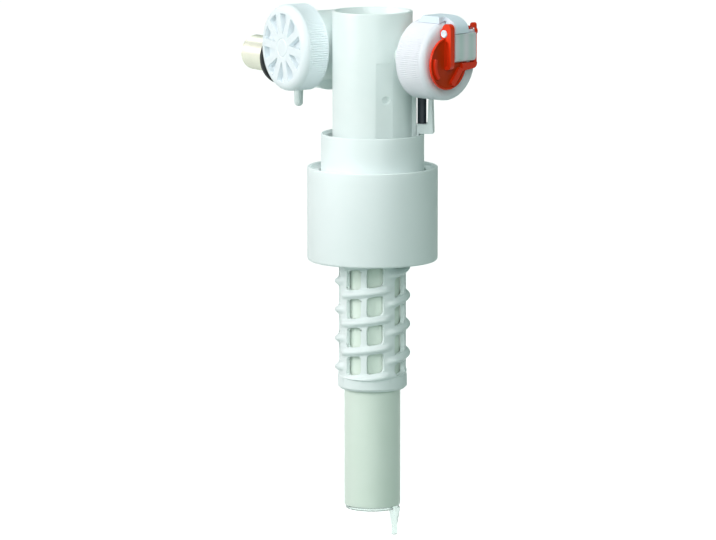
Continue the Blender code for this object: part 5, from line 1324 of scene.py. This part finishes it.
def make_floor():
    """White to the camera and in reflections, but dim to the valve, so that it throws little light back."""
    data = bpy.data.meshes.new("floor")
    half = FLOOR_SIZE / 2
    data.from_pydata([(-half, -half, 0), (half, -half, 0), (half, half, 0), (-half, half, 0)],
                     [], [(0, 1, 2, 3)])
    floor = bpy.data.objects.new("floor", data)
    bpy.context.scene.collection.objects.link(floor)
    floor.location = (0.0, 0.0, cad_box[0].z - FLOOR_DROP)
    nodes = Nodes("floor_white")
    nodes.set(Base_Color=FLOOR_COLOUR, Roughness=0.9, Specular_IOR_Level=0.1, Emission_Color=WHITE)
    path = nodes.add("ShaderNodeLightPath")
    seen = path.outputs["Is Camera Ray"]
    for ray in ("Is Glossy Ray", "Is Transmission Ray"):
        most = nodes.add("ShaderNodeMath")
        most.operation = "MAXIMUM"
        nodes.join(seen, most.inputs[0])
        nodes.join(path.outputs[ray], most.inputs[1])
        seen = most.outputs[0]
    glow = nodes.add("ShaderNodeMath")
    glow.operation = "MULTIPLY"
    glow.inputs[1].default_value = FLOOR_GLOW
    nodes.join(seen, glow.inputs[0])
    nodes.join(glow.outputs[0], nodes.shader.inputs["Emission Strength"])
    data.materials.append(nodes.material)


def make_world():
    """White to the camera. To the valve, bright on the left and dim green on the right."""
    world = bpy.data.worlds.new("studio")
    world.use_nodes = True
    bpy.context.scene.world = world
    new, join = world.node_tree.nodes.new, world.node_tree.links.new
    background = world.node_tree.nodes["Background"]
    side = new("ShaderNodeVectorMath")
    side.operation = "DOT_PRODUCT"
    side.inputs[1].default_value = (-math.cos(VIEW_HEADING), math.sin(VIEW_HEADING), 0.0)
    join(new("ShaderNodeTexCoord").outputs["Generated"], side.inputs[0])
    share = new("ShaderNodeMapRange")
    share.inputs["From Min"].default_value = WORLD_DIM_BELOW
    share.inputs["From Max"].default_value = WORLD_WHITE_ABOVE
    join(side.outputs["Value"], share.inputs["Value"])
    tint = new("ShaderNodeValToRGB")
    tint.color_ramp.elements[0].color = WORLD_RIGHT
    tint.color_ramp.elements[1].color = WHITE
    tint.color_ramp.elements.new(WORLD_MIDDLE_SHARE).color = WORLD_MIDDLE
    join(share.outputs["Result"], tint.inputs["Fac"])
    path = new("ShaderNodeLightPath")
    most = new("ShaderNodeMath")
    most.operation = "MAXIMUM"
    join(path.outputs["Is Camera Ray"], most.inputs[0])
    join(path.outputs["Is Transmission Ray"], most.inputs[1])
    seen = new("ShaderNodeMixRGB")
    seen.inputs["Color2"].default_value = WHITE
    join(most.outputs[0], seen.inputs["Fac"])
    join(tint.outputs["Color"], seen.inputs["Color1"])
    join(seen.outputs["Color"], background.inputs["Color"])
    reach = new("ShaderNodeMapRange")
    reach.inputs["To Min"].default_value = WORLD_LIGHT
    reach.inputs["To Max"].default_value = 1.0
    join(most.outputs[0], reach.inputs["Value"])
    join(reach.outputs["Result"], background.inputs["Strength"])


def area_light(name, heading, elevation, distance, size, power, colour):
    """A square lamp that shines at the middle of the valve. Heading 0 is the camera's side."""
    data = bpy.data.lights.new(name, "AREA")
    data.size = size
    data.energy = power
    data.color = colour
    lamp = bpy.data.objects.new(name, data)
    bpy.context.scene.collection.objects.link(lamp)
    target = COLUMN @ Vector((0.0, 0.0, VIEW_HEIGHT))
    turn = VIEW_HEADING + heading
    away = Vector((-math.sin(turn) * math.cos(elevation), -math.cos(turn) * math.cos(elevation),
                   math.sin(elevation)))
    lamp.location = target + away * distance
    lamp.rotation_mode = "QUATERNION"
    lamp.rotation_quaternion = (-away).to_track_quat("-Z", "Y")
    return lamp


def make_lights():
    for name, (heading, elevation, distance, size, power, colour) in LAMPS.items():
        area_light(name, math.radians(heading), math.radians(elevation), distance, size, power, colour)


def make_camera():
    data = bpy.data.cameras.new("camera")
    data.lens = VIEW_LENS
    camera = bpy.data.objects.new("camera", data)
    bpy.context.scene.collection.objects.link(camera)
    across = Vector((math.cos(VIEW_HEADING), -math.sin(VIEW_HEADING), 0.0))
    target = COLUMN @ Vector((0.0, 0.0, VIEW_HEIGHT)) - across * VIEW_LEFT_OF_COLUMN
    back = Vector((-math.sin(VIEW_HEADING) * math.cos(VIEW_ELEVATION),
                   -math.cos(VIEW_HEADING) * math.cos(VIEW_ELEVATION), math.sin(VIEW_ELEVATION)))
    camera.location = target + back * VIEW_DISTANCE
    camera.rotation_mode = "QUATERNION"
    camera.rotation_quaternion = (-back).to_track_quat("-Z", "Y")
    data.clip_start = 0.1
    data.clip_end = 50.0
    bpy.context.scene.camera = camera


make_floor()
make_world()
make_lights()
make_camera()
bpy.context.scene.view_settings.view_transform = "Standard"
